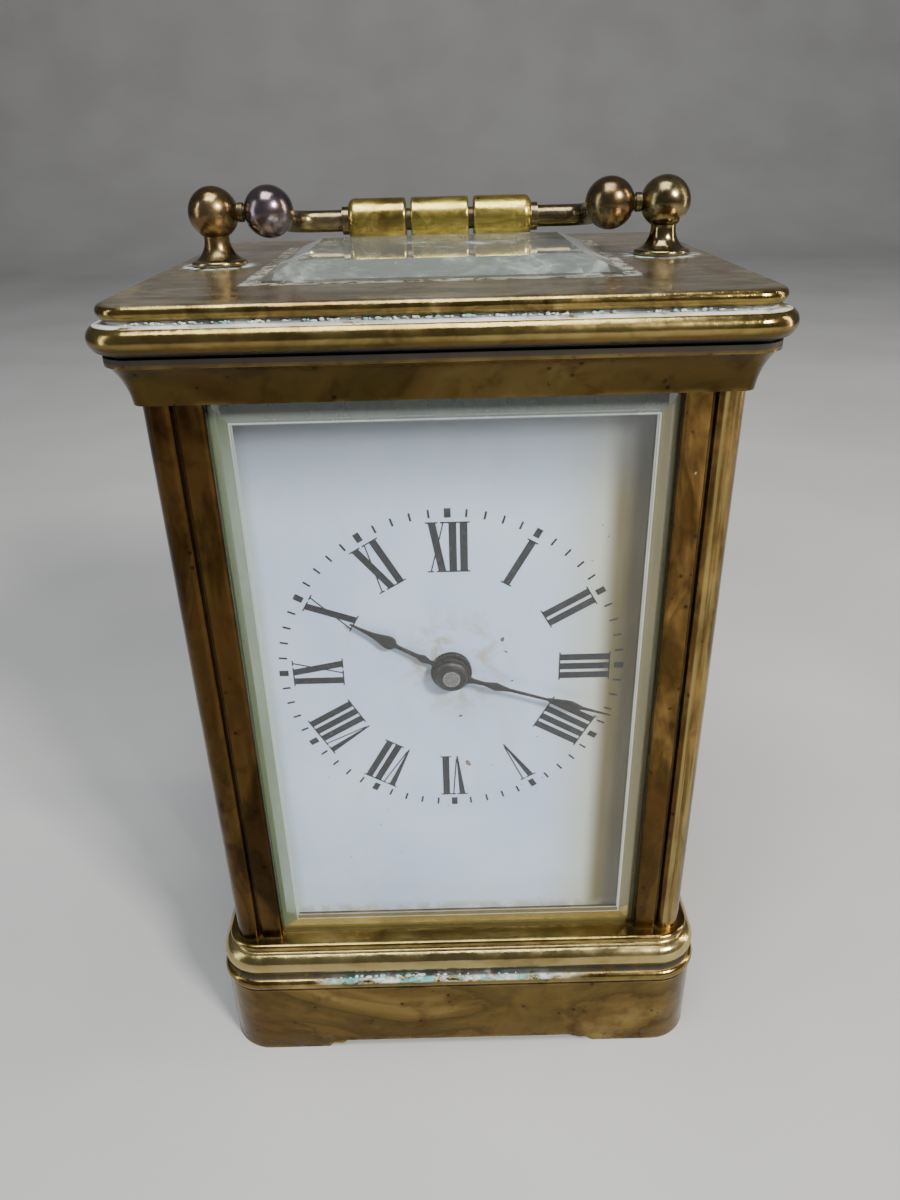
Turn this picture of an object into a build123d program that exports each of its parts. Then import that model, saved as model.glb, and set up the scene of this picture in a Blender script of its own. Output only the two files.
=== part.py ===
from build123d import *
from math import acos, atan2, cos, degrees, hypot, pi, radians, sin, sqrt, tan
import os

os.makedirs("parts", exist_ok=True)

# ---------------------------------------------------------------- driving dimensions (mm)
# Frame: origin at the centre of the base's underside, +Z up, dial facing -Y.
# Outer half-widths are given in X; the half-depth in Y is less by DEPTH_STEP.
DEPTH_STEP = 4.0

# Base
BASE_HALF, BASE_CORNER, BASE_TOP = 38.4, 6.5, 22.2
BASE_CAVITY_HALF, BASE_CAVITY_CORNER, BASE_WEB_Z = 35.0, 2.0, 19.4
FLOOR_HALF = (25.0, 21.0)
FLOOR_WINDOW_HALF = (20.0, 17.0)
FLOOR_Z = 20.6
FOOT_LIFT, FOOT_OGEE, FOOT_ARCH_HALF = 1.4, 1.5, (22.0, 18.0)

# Base moulding: (inset from the face, height)
BEAD_EDGE, BEAD_LOW, BEAD_MID, BEAD_HIGH = 0.35, 13.95, 14.95, 15.95
BASE_BLOCK_TOP, GROOVE_IN, GROOVE = 13.8, 1.0, (16.1, 16.7)
BASE_TORUS, BASE_TORUS_END = (0.05, 18.7), (1.2, 20.45)
BASE_COVE, BASE_COVE_END = (1.75, 20.6), (2.0, 21.05)
BASE_RIM, BASE_RIM_END = (1.35, 21.62), 1.95

# Pillars
PILLAR_HALF, PILLAR_TOP = 35.4, 108.6
PILLAR_BEAD, PILLAR_WIDTH, PILLAR_ARM = 3.7, 7.4, 4.4
BAND_SETBACK, NICK_WIDTH, NICK_DEPTH = 0.3, 0.4, 1.0
CORNER_ROUND, BEAD_ROUND, BAND_ROUND, NICK_ROUND = 2.2, 0.95, 0.6, 0.25

# Cornice and top plate
CORNICE_HALF, CORNICE_CORNER, CORNICE_TOP = 38.3, 4.0, 118.2
CORNICE_WELL_HALF = (28.0, 26.6)
PLATE_TOP = 120.0
# Cornice moulding: (distance in from the lip, height)
CORNICE_FOOT_IN, FOOT_STEP_IN, FOOT_STEP_H = 2.3, 2.25, 0.35
CAVETTO_MID, CAVETTO_END = (1.5, 111.4), (0.15, 113.3)
LIP_OUT, LIP_TOP, SHADOW_IN, SHADOW = 0.1, 114.3, 0.5, (114.4, 114.65)
CORNICE_TORUS_OUT, CORNICE_TORUS_IN, CORNICE_TORUS_MID, CORNICE_TORUS_TOP = 1.5, 0.1, 116.25, 117.85
QUIRK_IN = 0.9

# Glasses
GLASS_T, GLASS_SET, GLASS_ENGAGE, GLASS_END = 1.7, 1.35, 1.4, 1.0
GLASS_BEVEL, GLASS_BEVEL_DROP = 3.9, 0.8
TOP_GLASS_HALF, TOP_GLASS_SEAT, TOP_GLASS_TOP = (22.3, 19.5), 119.0, 122.0
TOP_GLASS_BEVEL, TOP_GLASS_DROP, TOP_GLASS_LEDGE = 4.3, 1.7, 1.5

# Case screws
CASE_SCREW_INSET, CASE_SCREW_R, CASE_HEAD_R, CASE_HEAD_H = 2.4, 1.1, 1.9, 1.4
CASE_SCREW_LEN, CORNICE_SCREW_LEN, MOVEMENT_SCREW_LEN = 12.0, 18.0, 4.6
CORNICE_SCREW_SEAT = CORNICE_TOP - 0.2 - CASE_HEAD_H
SLOT_W, SLOT_DEPTH = 0.45, 0.6

# Handle
POST_X, BALL_Z, BALL_R = 31.0, 126.8, 3.4
BOW_X, BOW_REACH, BOW_DROP, BOW_R, BOW_BEND = 23.4, 19.5, 2.8, 1.6, 3.6
PIVOT_R, PIVOT_CLEAR, COLLAR_R = 0.9, 0.04, 1.25
BOW_COLLAR_R, BOW_COLLAR_LEN = 2.05, 1.0
GRIP_R, GRIP_LEN, GRIP_GAP = 3.2, 9.0, 0.8
GRIP_END_ROUND, GRIP_JOINT_ROUND = 1.1, 0.35
STUD_R, STUD_LOW = 1.5, 112.0
POST_FOOT_R, POST_FOOT_BULGE, POST_FOOT_H = 3.5, 0.35, 0.8
POST_STEP_R, POST_STEP_H = 3.1, 0.95
POST_COVE_R, POST_COVE_H = 2.1, 2.0
POST_NECK_R, POST_NECK_H = 1.85, 4.4
PIN_IN_POST, PIN_IN_BOW, PIN_HOLE_IN_BOW, COLLAR_GAP = 1.0, 1.8, 2.2, 0.1
PAST = 1.0                         # how far a cut runs past the face it leaves by

# Rear door
DOOR_HALF, DOOR_LOW, DOOR_HIGH = 27.6, 22.6, 108.2
DOOR_IN, DOOR_OUT, DOOR_RAIL = 28.4, 31.4, 5.2
DOOR_GLASS_LIP, DOOR_GLASS_T, DOOR_GLASS_COVER = 1.5, 1.6, 1.0
DOOR_BEVEL, DOOR_BEVEL_DROP = 4.0, 0.7
DOOR_PIN_R, DOOR_PIN_CLEAR, DOOR_PIN_BITE, DOOR_PIN_END_GAP = 0.7, 0.04, 2.0, 0.1
KNOB_STUD_R, KNOB_STUD_LEN = 0.8, 1.5
KNOB_OUTLINE = [(0, -KNOB_STUD_LEN), (KNOB_STUD_R, -KNOB_STUD_LEN), (KNOB_STUD_R, 0), (1.6, 0),
                (1.6, 0.4), (0.8, 0.9), (0.8, 1.5), (1.5, 1.9), (1.9, 2.6), (1.8, 3.3), (1.2, 3.8), (0, 4.0)]

# Dial and hands
DIAL_FRONT, DIAL_T, DIAL_HALF, DIAL_LOW, DIAL_HIGH, DIAL_HOLE_R = -25.2, 1.0, 27.5, 22.3, 109.5, 2.8
DIAL_FOOT_X, DIAL_FOOT_Z, DIAL_FOOT_R, DIAL_FOOT_SHORT = 22.0, (34.0, 86.0), 0.8, 0.5
CENTRE = (0.0, 68.5)
HOUR_ANGLE, MINUTE_ANGLE = 300.5, 108.0
HAND_T, HOUR_HAND_Y, MINUTE_HAND_Y = 0.3, -26.2, -27.1
HOUR_EYE, MINUTE_EYE = (2.9, 2.3), (2.5, 1.7)        # outer and bore radius
COLLET_Y, COLLET_OUTLINE = -27.2, [(1.2, 0), (2.3, 0), (2.3, 0.2), (2.1, 0.42), (1.75, 0.58), (1.2, 0.64)]
# Hand outlines as (distance from the centre, half-width): lozenge, then a teardrop and a needle
HOUR_OUTLINE = [(1.8, 0.85), (3.0, 0.3), (3.5, 0.28), (4.5, 0.58), (5.5, 0.28), (8.6, 0.26), (8.9, 0.38),
                (9.1, 0.7), (9.5, 0.93), (10.0, 0.97), (10.6, 0.85), (11.4, 0.6), (12.2, 0.4), (13.2, 0.27),
                (15.9, 0.08)]
MINUTE_OUTLINE = [(1.8, 0.75), (3.4, 0.32), (4.9, 0.26), (6.5, 0.6), (8.6, 0.2), (14.2, 0.15), (14.5, 0.27),
                  (15.6, 0.42), (16.8, 0.6), (17.8, 0.66), (18.6, 0.5), (19.6, 0.2), (21.0, 0.14), (23.8, 0.06)]

# Movement plates, frame depth stations along Y
PLATE_HALF, MOVEMENT_TOP = 25.0, 98.0
FRONT_PLATE, BACK_PLATE = (-19.4, -17.4), (12.0, 14.0)
PLATE_CORNER = 2.0
LOW_POST, HIGH_POST, MOVEMENT_POST_R = (17.0, 24.9), (21.0, 94.0), 2.6
SHAKE = 0.04                       # radial running clearance of every pivot
END_SHAKE = 0.2
TAP_DEPTH = 4.0

# Small screws: (head radius, head height, shaft radius)
MOVEMENT_SCREW, PLATFORM_SCREW, COCK_SCREW = (2.2, 0.9, 1.0), (1.4, 0.9, 0.7), (1.2, 0.8, 0.6)
CLICK_SCREW, SPRING_SCREW = (1.7, 0.8, 0.9), (1.3, 0.8, 0.7)
MOVEMENT_SCREW_REACH, CLICK_SCREW_REACH, SPRING_SCREW_REACH = 5.5, 3.6, 3.1
PLATFORM_SCREW_BITE, COCK_SCREW_BITE = 3.5, 0.8

# Gear train: (teeth, module)
GREAT, CENTRE_PINION = (84, 0.5), (12, 0.5)
CENTRE_WHEEL, THIRD_PINION = (80, 0.35), (10, 0.35)
THIRD_WHEEL, CONTRATE_PINION = (75, 0.32), (10, 0.32)
CONTRATE_TEETH, ESCAPE_PINION_TEETH, ESCAPE_TEETH = 70, 7, 15
CANNON, MINUTE_WHEEL = (12, 0.3), (36, 0.3)
MINUTE_PINION, HOUR_WHEEL = (10, 0.288), (40, 0.288)
PRESSURE = radians(20)
WHEEL_ADD, WHEEL_DED, PINION_ADD, PINION_DED, TOOTH_SLACK = 0.55, 1.15, 0.95, 0.75, 0.16

BARREL = (0.0, 44.5)
CONTRATE = (8.0, 86.0)
CONTRATE_R, CONTRATE_TOOTH_IN, CONTRATE_TOOTH_W = 10.5, 9.7, 0.3
CONTRATE_WEB, CONTRATE_TIPS = (0.0, 0.8), 1.6
MINUTE_WHEEL_DIRECTION = 225.0

# Barrel, winding work: radii, and (front, back) stations along Y
DRUM_R, DRUM_WALL, DRUM, CAP_T, GREAT_T = 18.5, 1.0, (-10.2, 8.5), 1.2, 1.4
CAP_HOLE_R, CAP_HOLE_UP = 1.2, 13.0
SPRING_R, SPRING_TURNS, SPRING_STRIP, SPRING_STEPS, SPRING_GAP = (5.0, 17.1), 10, 0.35, 32, 0.4
ARBOR_PIVOT_R, ARBOR_R, ARBOR_CORE_R, ARBOR_BACK_R = 1.6, 2.5, 4.4, 2.2
ARBOR_SHOULDERS, ARBOR_SQUARE, ARBOR_SQUARE_Y = (2.2, 2.0), 3.0, (16.4, 21.0)
RATCHET_TEETH, RATCHET_TIP_R, RATCHET_ROOT_R, RATCHET_SLOPE, RATCHET = 24, 7.5, 6.5, 0.92, (14.3, 15.7)
CLICK, CLICK_TIP, SPRING_FOOT = (-10.5, 50.5), (-2.7, 51.72), (-17.5, 56.0)
CLICK_BORE_R, SPRING_BORE_R, CLICK_BACK, SPRING_BACK = 0.9, 0.7, 15.5, 15.1

# Going train: radii and stations along Y
TRAIN_PIVOT_R, CENTRE_PIVOT_R = 0.5, (1.2, 1.0)
CENTRE_BODY_R, CENTRE_SEAT_R, CENTRE_SEAT_END = 1.3, 1.6, -9.4
CENTRE_NOSE, CENTRE_TAIL, CENTRE_SQUARE, CENTRE_SQUARE_END = -28.0, 17.0, 1.4, 20.5
CENTRE_PINION_Y, THIRD_PINION_Y, CONTRATE_PINION_Y = (-12.3, -9.5), (-16.5, -14.3), (-6.6, -4.5)
THIRD_BODY_R, CONTRATE_BODY_R = 1.0, 0.9
# Wheel blanks: (front, back), hub radius, rim radius, arms, arm width
CENTRE_BLANK = ((-15.9, -14.9), 3.6, 12.2, 4, 2.0)
THIRD_BLANK = ((-6.0, -5.1), 2.8, 10.5, 4, 1.6)
CONTRATE_HUB_R, CONTRATE_RIM, CONTRATE_ARMS, CONTRATE_ARM_W = 2.4, 0.8, 4, 1.5
# Motion work behind the dial
CANNON_R, CANNON_PIPE, CANNON_TEETH = 1.7, (-27.2, -21.7), (-21.7, -20.2)
MINUTE_WHEEL_Y, MINUTE_PINION_Y = (-21.4, -20.6), (-23.3, -21.4)
HOUR_WHEEL_Y, HOUR_PIPE_R, HOUR_PIPE_FRONT = (-23.1, -22.3), 2.3, -26.2
MINUTE_STUD_R, MINUTE_STUD_FRONT = 0.7, -23.7

# Platform escapement, heights along Z and plan positions
PLATFORM_X, PLATFORM_T = (-15.0, 13.5), 1.4
ESCAPE = (8.0, 2.35)
LEVER = (1.8, 2.35)
BALANCE = (-5.0, 2.35)
COCK_FEET = [(7.5, 10.3), (-5.0, 12.4)]
PLATFORM_SCREWS = [(x, y) for x in (-13.0, 11.5) for y in (-18.4, 13.0)]
PLATFORM_CORNER, ESCAPE_WELL_R = 1.5, 1.6
SMALL_PIVOT_R, ESCAPE_PIVOT_R = 0.25, 0.3
PIVOT_LOW, LEVER_TOP, STAFF_TOP = 98.2, 102.6, 107.2
POTENCE_HALF, POTENCE_Y, POTENCE_SHELF_Y, POTENCE_Z = 1.5, (6.0, 7.6), (1.2, 7.6), (92.6, 93.8)
BANKING_R, BANKING_BACK, BANKING_HALF, BANKING_TOP = 0.22, 3.0, 1.1, 101.3
LEAF_TIP_R, LEAF_ROOT_R, LEAF_SHOULDER = 1.25, 0.72, 0.2
LEAF_ROOT_HALF, LEAF_SHOULDER_HALF, LEAF_TIP_HALF = 0.16, 0.11, 0.05     # radians
LEAF_Z, ESCAPE_LOW, ESCAPE_BODY_R, ESCAPE_BODY_Z = (95.0, 97.3), 92.8, 0.55, (94.0, 101.8)
ESCAPE_R, ESCAPE_ROOT_R, ESCAPE_RIM_R, ESCAPE_HUB_R = 4.5, 3.3, 2.7, 1.1
ESCAPE_ARMS, ESCAPE_ARM_W = 4, 0.6
# One club tooth as (radius, degrees from its radius)
CLUB_TOOTH = [(ESCAPE_ROOT_R, -7.0), (3.6, -1.5), (4.25, 0.6), (ESCAPE_R, 3.6), (4.05, 3.9),
              (ESCAPE_ROOT_R, 2.6)]
ESCAPE_Z, COCK_Z = (100.6, 101.0), (101.9, 102.8)
PALLET_REACH, PALLET_TIP_R, LEVER_TAIL, LEVER_FORK = (1.8, 2.6), 0.34, 4.6, 5.0
LEVER_BODY_R, LEVER_BODY_Z = 0.5, (99.6, 101.7)
BALANCE_R, BALANCE_RIM, BALANCE_ARM_W, BALANCE_HUB_R, BALANCE_Z = 7.6, 1.0, 1.3, 1.6, (103.3, 104.3)
BALANCE_SCREWS, BALANCE_SCREW_R, BALANCE_SCREW_LEN = 12, 0.38, 0.9
STAFF_R, STAFF_Z, ROLLER_R, ROLLER_Z = 0.5, (99.7, 106.0), 1.3, (101.9, 102.3)
IMPULSE_PIN_X, IMPULSE_PIN_R, IMPULSE_PIN_Z = 1.0, 0.16, (101.15, 102.0)
COLLET_R, COLLET_Z = 0.8, (104.6, 105.5)
HAIRSPRING_R, HAIRSPRING_TURNS, HAIRSPRING_STRIP, HAIRSPRING_STEPS = (1.0, 3.5), 8, 0.09, 24
HAIRSPRING_Z = (104.9, 105.3)
BALANCE_COCK_Z, STUD_ARM_X, STUD_ARM_HALF, STUD_HANG_Z = (106.2, 107.3), (3.6, 4.2), 0.4, (104.7, 106.6)
REGULATOR_R, REGULATOR_BORE_R, REGULATOR_REACH, REGULATOR_Z = 1.8, 0.7, 6.0, (107.35, 107.7)


# ---------------------------------------------------------------- helpers
LOW = (Align.CENTER, Align.CENTER, Align.MIN)
CORNERS = [(sx, sy) for sx in (-1, 1) for sy in (-1, 1)]


def save(name, *shapes):
    solids = [solid for shape in shapes for solid in shape.solids()]
    export_step(solids[0] if len(solids) == 1 else Compound(children=solids), f"parts/{name}.step")


def block(x, y, z):
    """Box between the given (low, high) limits."""
    centre = [(low + high) / 2 for low, high in (x, y, z)]
    return Pos(*centre) * Box(x[1] - x[0], y[1] - y[0], z[1] - z[0])


def upright(x, y, r, z0, z1):
    return Pos(x, y, z0) * Cylinder(r, z1 - z0, align=LOW)


def slab(sketch, y0, y1):
    """Sketch drawn in (x, z), given thickness from y0 to y1."""
    return Pos(0, y1, 0) * Rot(90, 0, 0) * extrude(sketch, y1 - y0)


def disc(at, r, y0, y1):
    return slab(Pos(*at) * Circle(r), y0, y1)


def sheet(sketch, z0, z1):
    """Sketch drawn in (x, y), given thickness from z0 to z1."""
    return Pos(0, 0, z0) * extrude(sketch, z1 - z0)


def crossbar(y, z, r, x0, x1):
    return Pos(x0, y, z) * Rot(0, 90, 0) * Cylinder(r, x1 - x0, align=LOW)


def polygon(points):
    return make_face(Polyline(*points, close=True))


def hull(*circles):
    """Convex outline round circles given as (x, y, r)."""
    return make_hull([edge for x, y, r in circles for edge in (Pos(x, y) * Circle(r)).edges()])


def turned(points):
    """Solid of revolution about Z from a closed (r, z) outline."""
    return revolve(make_face(Plane.XZ * Polyline(*points, close=True)), Axis.Z)


def screw(head_r, head_h, shaft_r, length):
    """Slotted screw: head below z = 0, shaft up +Z."""
    body = Pos(0, 0, -head_h) * Cylinder(head_r, head_h, align=LOW) + Cylinder(shaft_r, length, align=LOW)
    return body - Pos(0, 0, -head_h) * Box(2.2 * head_r, SLOT_W, 2 * SLOT_DEPTH)


def moulded_block(half_x, corner, outline):
    """Block whose four sides and rounded corners carry one moulding.

    The outline is a face in the XZ plane, measured outwards from the corner's centre line."""
    cx, cy = half_x - corner, half_x - DEPTH_STEP - corner
    heights = [vertex.Z for vertex in outline.vertices()]
    body = block((-cx, cx), (-cy, cy), (min(heights), max(heights)))
    starts = [(cx, cy, 2 * cy), (-cx, cy, 2 * cx), (-cx, -cy, 2 * cy), (cx, -cy, 2 * cx)]
    for turn, (x, y, run) in enumerate(starts):
        place = Pos(x, y, 0) * Rot(0, 0, 90 * turn)
        body += place * extrude(outline, run)
        body += place * revolve(outline, Axis.Z, 90)
    return body


def outline_face(start, *moves):
    """Closed face in XZ; a move is a point, or a pair (through, end) for an arc."""
    edges, here = [], start
    for move in moves:
        if isinstance(move[0], tuple):
            edges.append(ThreePointArc(here, move[0], move[1]))
            here = move[1]
        else:
            edges.append(Line(here, move))
            here = move
    edges.append(Line(here, start))
    return make_face([Plane.XZ * edge for edge in edges])


def bevelled_pane(width, height, thick, bevel, drop):
    """Pane lying on z = 0, its upper edges ground to a bevel."""
    body = extrude(Rectangle(width, height), thick - drop)
    slope = loft([Pos(0, 0, thick - drop) * Rectangle(width, height),
                  Pos(0, 0, thick) * Rectangle(width - 2 * bevel, height - 2 * bevel)])
    return body + slope


def involute(angle):
    return tan(angle) - angle


def toothed(gear, addendum, dedendum, centre, phase):
    """Involute wheel outline, one tooth centred on the phase angle (degrees)."""
    teeth, module = gear
    pitch_r = teeth * module / 2
    base_r, tip_r, root_r = pitch_r * cos(PRESSURE), pitch_r + addendum * module, pitch_r - dedendum * module
    half_tooth = (pi / 2 - TOOTH_SLACK) / teeth + involute(PRESSURE)
    foot_r = max(base_r, root_r)
    radii = [root_r] * (root_r < base_r) + [foot_r + (tip_r - foot_r) * k / 3 for k in range(4)]
    flank = [(r, half_tooth - involute(acos(base_r / max(r, base_r)))) for r in radii]
    points = []
    for tooth in range(teeth):
        middle = 2 * pi * tooth / teeth
        points += [(r * cos(middle - a), r * sin(middle - a)) for r, a in flank]
        points += [(r * cos(middle + a), r * sin(middle + a)) for r, a in reversed(flank)]
    return Pos(*centre) * Rot(0, 0, phase) * polygon(points)


def crossings(centre, hub_r, rim_r, arms, arm_w, phase=0.0):
    """Windows that leave a wheel with straight arms."""
    windows = Circle(rim_r) - Circle(hub_r)
    for arm in range(arms):
        windows -= Rot(0, 0, 360 * arm / arms) * Pos(rim_r / 2, 0) * Rectangle(rim_r + 1, arm_w)
    return Pos(*centre) * Rot(0, 0, phase) * windows


def bearing(a, b):
    return degrees(atan2(b[1] - a[1], b[0] - a[0]))


def mesh_phase(a, b, teeth_b):
    """Phase that puts a gap of wheel b where wheel a has the tooth facing it."""
    return bearing(b, a) + 180 / teeth_b


def pitch_distance(wheel, pinion):
    return (wheel[0] * wheel[1] + pinion[0] * pinion[1]) / 2


def spiral_strip(r0, r1, turns, thick, steps):
    """Flat spiral ribbon outline."""
    count = int(turns * steps)
    angles = [2 * pi * k / steps for k in range(count + 1)]
    radii = [r0 + (r1 - r0) * k / count for k in range(count + 1)]
    inner = [((r - thick / 2) * cos(a), (r - thick / 2) * sin(a)) for r, a in zip(radii, angles)]
    outer = [((r + thick / 2) * cos(a), (r + thick / 2) * sin(a)) for r, a in zip(radii, angles)]
    return polygon(inner + outer[::-1])


# ---------------------------------------------------------------- case
def base_outline():
    u = BASE_CORNER
    return outline_face(
        (0, 0), (u, 0), (u, BASE_BLOCK_TOP), (u - BEAD_EDGE, BEAD_LOW),
        ((u + BEAD_EDGE, BEAD_MID), (u - BEAD_EDGE, BEAD_HIGH)),
        (u - GROOVE_IN, GROOVE[0]), (u - GROOVE_IN, GROOVE[1]),
        ((u - BASE_TORUS[0], BASE_TORUS[1]), (u - BASE_TORUS_END[0], BASE_TORUS_END[1])),
        ((u - BASE_COVE[0], BASE_COVE[1]), (u - BASE_COVE_END[0], BASE_COVE_END[1])),
        ((u - BASE_RIM[0], BASE_RIM[1]), (u - BASE_RIM_END, BASE_TOP)),
        (0, BASE_TOP))


def foot_arch(half):
    """Shallow arch between the bracket feet, drawn from the resting surface up."""
    end, low, high = half, FOOT_OGEE, FOOT_LIFT
    arch = [
        Line((-end, -1), (-end, 0)),
        ThreePointArc((-end, 0), (-end + 0.3 * low, 0.42 * high), (-end + low, 0.55 * high)),
        ThreePointArc((-end + low, 0.55 * high), (-end + 1.7 * low, 0.68 * high), (-end + 2 * low, high)),
        Line((-end + 2 * low, high), (end - 2 * low, high)),
        ThreePointArc((end - 2 * low, high), (end - 1.7 * low, 0.68 * high), (end - low, 0.55 * high)),
        ThreePointArc((end - low, 0.55 * high), (end - 0.3 * low, 0.42 * high), (end, 0)),
        Line((end, 0), (end, -1)), Line((end, -1), (-end, -1))]
    return make_face(arch)


def case_screw_places():
    inset = PILLAR_HALF - CASE_SCREW_INSET
    return [(sx * inset, sy * (inset - DEPTH_STEP)) for sx, sy in CORNERS]


def case_screw(length):
    return screw(CASE_HEAD_R, CASE_HEAD_H, CASE_SCREW_R, length)


def glass_slots(z0, z1):
    """Room for the ends of the three fixed panes."""
    half = PILLAR_HALF - PILLAR_WIDTH + GLASS_ENGAGE
    outer, inner = PILLAR_HALF - GLASS_SET, PILLAR_HALF - GLASS_SET - GLASS_T
    slots = [block((-half, half), (DEPTH_STEP - outer, DEPTH_STEP - inner), (z0, z1))]
    side = half - DEPTH_STEP
    for low, high in ((-outer, -inner), (inner, outer)):
        slots.append(block((low, high), (-side, side), (z0, z1)))
    return slots


def door_pivot():
    return DOOR_HALF - (DOOR_OUT - DOOR_IN) / 2, (DOOR_OUT + DOOR_IN) / 2


def make_base():
    body = moulded_block(BASE_HALF, BASE_CORNER, base_outline())
    inner = BASE_CAVITY_HALF
    body -= sheet(RectangleRounded(2 * inner, 2 * (inner - DEPTH_STEP), BASE_CAVITY_CORNER), 0, BASE_WEB_Z)
    body -= sheet(Rectangle(2 * FLOOR_WINDOW_HALF[0], 2 * FLOOR_WINDOW_HALF[1]), BASE_WEB_Z, FLOOR_Z)
    body -= sheet(Rectangle(2 * FLOOR_HALF[0], 2 * FLOOR_HALF[1]), FLOOR_Z, BASE_TOP)
    body -= slab(foot_arch(FOOT_ARCH_HALF[0]), -BASE_HALF, BASE_HALF)
    body -= Rot(0, 0, 90) * slab(foot_arch(FOOT_ARCH_HALF[1]), -BASE_HALF - 1, BASE_HALF + 1)
    for slot in glass_slots(BASE_TOP - GLASS_END, BASE_TOP):
        body -= slot
    for x, y in case_screw_places():
        body -= upright(x, y, CASE_SCREW_R, BASE_WEB_Z, BASE_TOP)
    body -= upright(*door_pivot(), DOOR_PIN_R, BASE_TOP - DOOR_PIN_BITE, BASE_TOP)
    save("base_casting", body)

    floor = sheet(Rectangle(2 * FLOOR_HALF[0], 2 * FLOOR_HALF[1]), FLOOR_Z, BASE_TOP)
    for sign in (-1, 1):
        floor -= upright(sign * LOW_POST[0], 0, CASE_SCREW_R, FLOOR_Z, BASE_TOP)
    save("base_floor_plate", floor)

    screws = [Pos(sign * LOW_POST[0], 0, FLOOR_Z) * case_screw(MOVEMENT_SCREW_LEN) for sign in (-1, 1)]
    for x, y in case_screw_places():
        screws.append(Pos(x, y, BASE_WEB_Z) * case_screw(CASE_SCREW_LEN))
        screws.append(Pos(x, y, CORNICE_SCREW_SEAT) * Rot(180, 0, 0) * case_screw(CORNICE_SCREW_LEN))
    save("case_screws", *screws)


def pillar_section(front_slot):
    """Plan section of the pillar at the low-X, low-Y corner, its outer corner at the origin."""
    b, w, a, s, d = PILLAR_BEAD, PILLAR_WIDTH, PILLAR_ARM, BAND_SETBACK, NICK_DEPTH
    along = [(b, 0), (b, d), (b + NICK_WIDTH, d), (b + NICK_WIDTH, s), (w, s), (w, a), (a, a)]
    back = [(y, x) for x, y in reversed(along[:-1])]
    section = polygon([(0, 0)] + along + back)
    for (x, y), r in (((0, 0), CORNER_ROUND), ((b, 0), BEAD_ROUND), ((0, b), BEAD_ROUND),
                      ((w, s), BAND_ROUND), ((s, w), BAND_ROUND),
                      ((b + NICK_WIDTH, s), NICK_ROUND), ((s, b + NICK_WIDTH), NICK_ROUND)):
        section = fillet(section.vertices().sort_by_distance(Vector(x, y))[0], r)
    low, high = GLASS_SET, GLASS_SET + GLASS_T
    depth = (w - GLASS_ENGAGE, w + 1)
    middle, width = sum(depth) / 2, depth[1] - depth[0]
    section -= Pos((low + high) / 2, middle) * Rectangle(GLASS_T, width)
    if front_slot:
        section -= Pos(middle, (low + high) / 2) * Rectangle(width, GLASS_T)
    return section


def make_pillars():
    inset = CASE_SCREW_INSET
    for end, front in (("front", True), ("rear", False)):
        pillar = sheet(pillar_section(front), BASE_TOP, PILLAR_TOP)
        pillar -= upright(inset, inset, CASE_SCREW_R, BASE_TOP, BASE_WEB_Z + CASE_SCREW_LEN)
        pillar -= upright(inset, inset, CASE_SCREW_R, CORNICE_SCREW_SEAT - CORNICE_SCREW_LEN, PILLAR_TOP)
        pillar = Pos(-PILLAR_HALF, DEPTH_STEP - PILLAR_HALF, 0) * pillar
        if not front:
            pillar = mirror(pillar, Plane.XZ)
        save(f"pillar_{end}_left", pillar)
        save(f"pillar_{end}_right", mirror(pillar, Plane.YZ))


def cornice_outline():
    r = CORNICE_CORNER
    return outline_face(
        (0, PILLAR_TOP), (r - CORNICE_FOOT_IN, PILLAR_TOP), (r - FOOT_STEP_IN, PILLAR_TOP + FOOT_STEP_H),
        ((r - CAVETTO_MID[0], CAVETTO_MID[1]), (r - CAVETTO_END[0], CAVETTO_END[1])),
        (r + LIP_OUT, CAVETTO_END[1]), (r + LIP_OUT, LIP_TOP),
        (r - SHADOW_IN, SHADOW[0]), (r - SHADOW_IN, SHADOW[1]), (r - CORNICE_TORUS_IN, SHADOW[1]),
        ((r + CORNICE_TORUS_OUT, CORNICE_TORUS_MID), (r - CORNICE_TORUS_IN, CORNICE_TORUS_TOP)),
        (r - QUIRK_IN, CORNICE_TORUS_TOP), (r - QUIRK_IN, CORNICE_TOP), (0, CORNICE_TOP))


def plate_outline():
    r, middle = CORNICE_CORNER, (CORNICE_TOP + PLATE_TOP) / 2
    return outline_face((0, CORNICE_TOP), (r - QUIRK_IN, CORNICE_TOP), ((r, middle), (r - QUIRK_IN, PLATE_TOP)),
                        (0, PLATE_TOP))


def make_cornice():
    body = moulded_block(CORNICE_HALF, CORNICE_CORNER, cornice_outline())
    body -= sheet(Rectangle(2 * CORNICE_WELL_HALF[0], 2 * CORNICE_WELL_HALF[1]), PILLAR_TOP, CORNICE_TOP)
    for slot in glass_slots(PILLAR_TOP, PILLAR_TOP + GLASS_END):
        body -= slot
    for x, y in case_screw_places():
        body -= upright(x, y, CASE_SCREW_R, PILLAR_TOP, CORNICE_TOP)
        body -= upright(x, y, CASE_HEAD_R, CORNICE_SCREW_SEAT, CORNICE_TOP)
    for sign in (-1, 1):
        body -= upright(sign * POST_X, 0, STUD_R, STUD_LOW, CORNICE_TOP)
    body -= upright(*door_pivot(), DOOR_PIN_R, PILLAR_TOP, PILLAR_TOP + DOOR_PIN_BITE)
    save("cornice_frame", body)

    plate = moulded_block(CORNICE_HALF, CORNICE_CORNER, plate_outline())
    gx, gy = TOP_GLASS_HALF
    plate -= sheet(Rectangle(2 * gx, 2 * gy), TOP_GLASS_SEAT, PLATE_TOP)
    ledge = Rectangle(2 * (gx - TOP_GLASS_LEDGE), 2 * (gy - TOP_GLASS_LEDGE))
    plate -= sheet(ledge, CORNICE_TOP, TOP_GLASS_SEAT)
    for sign in (-1, 1):
        plate -= upright(sign * POST_X, 0, STUD_R, CORNICE_TOP, PLATE_TOP)
    save("top_plate", plate)


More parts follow.
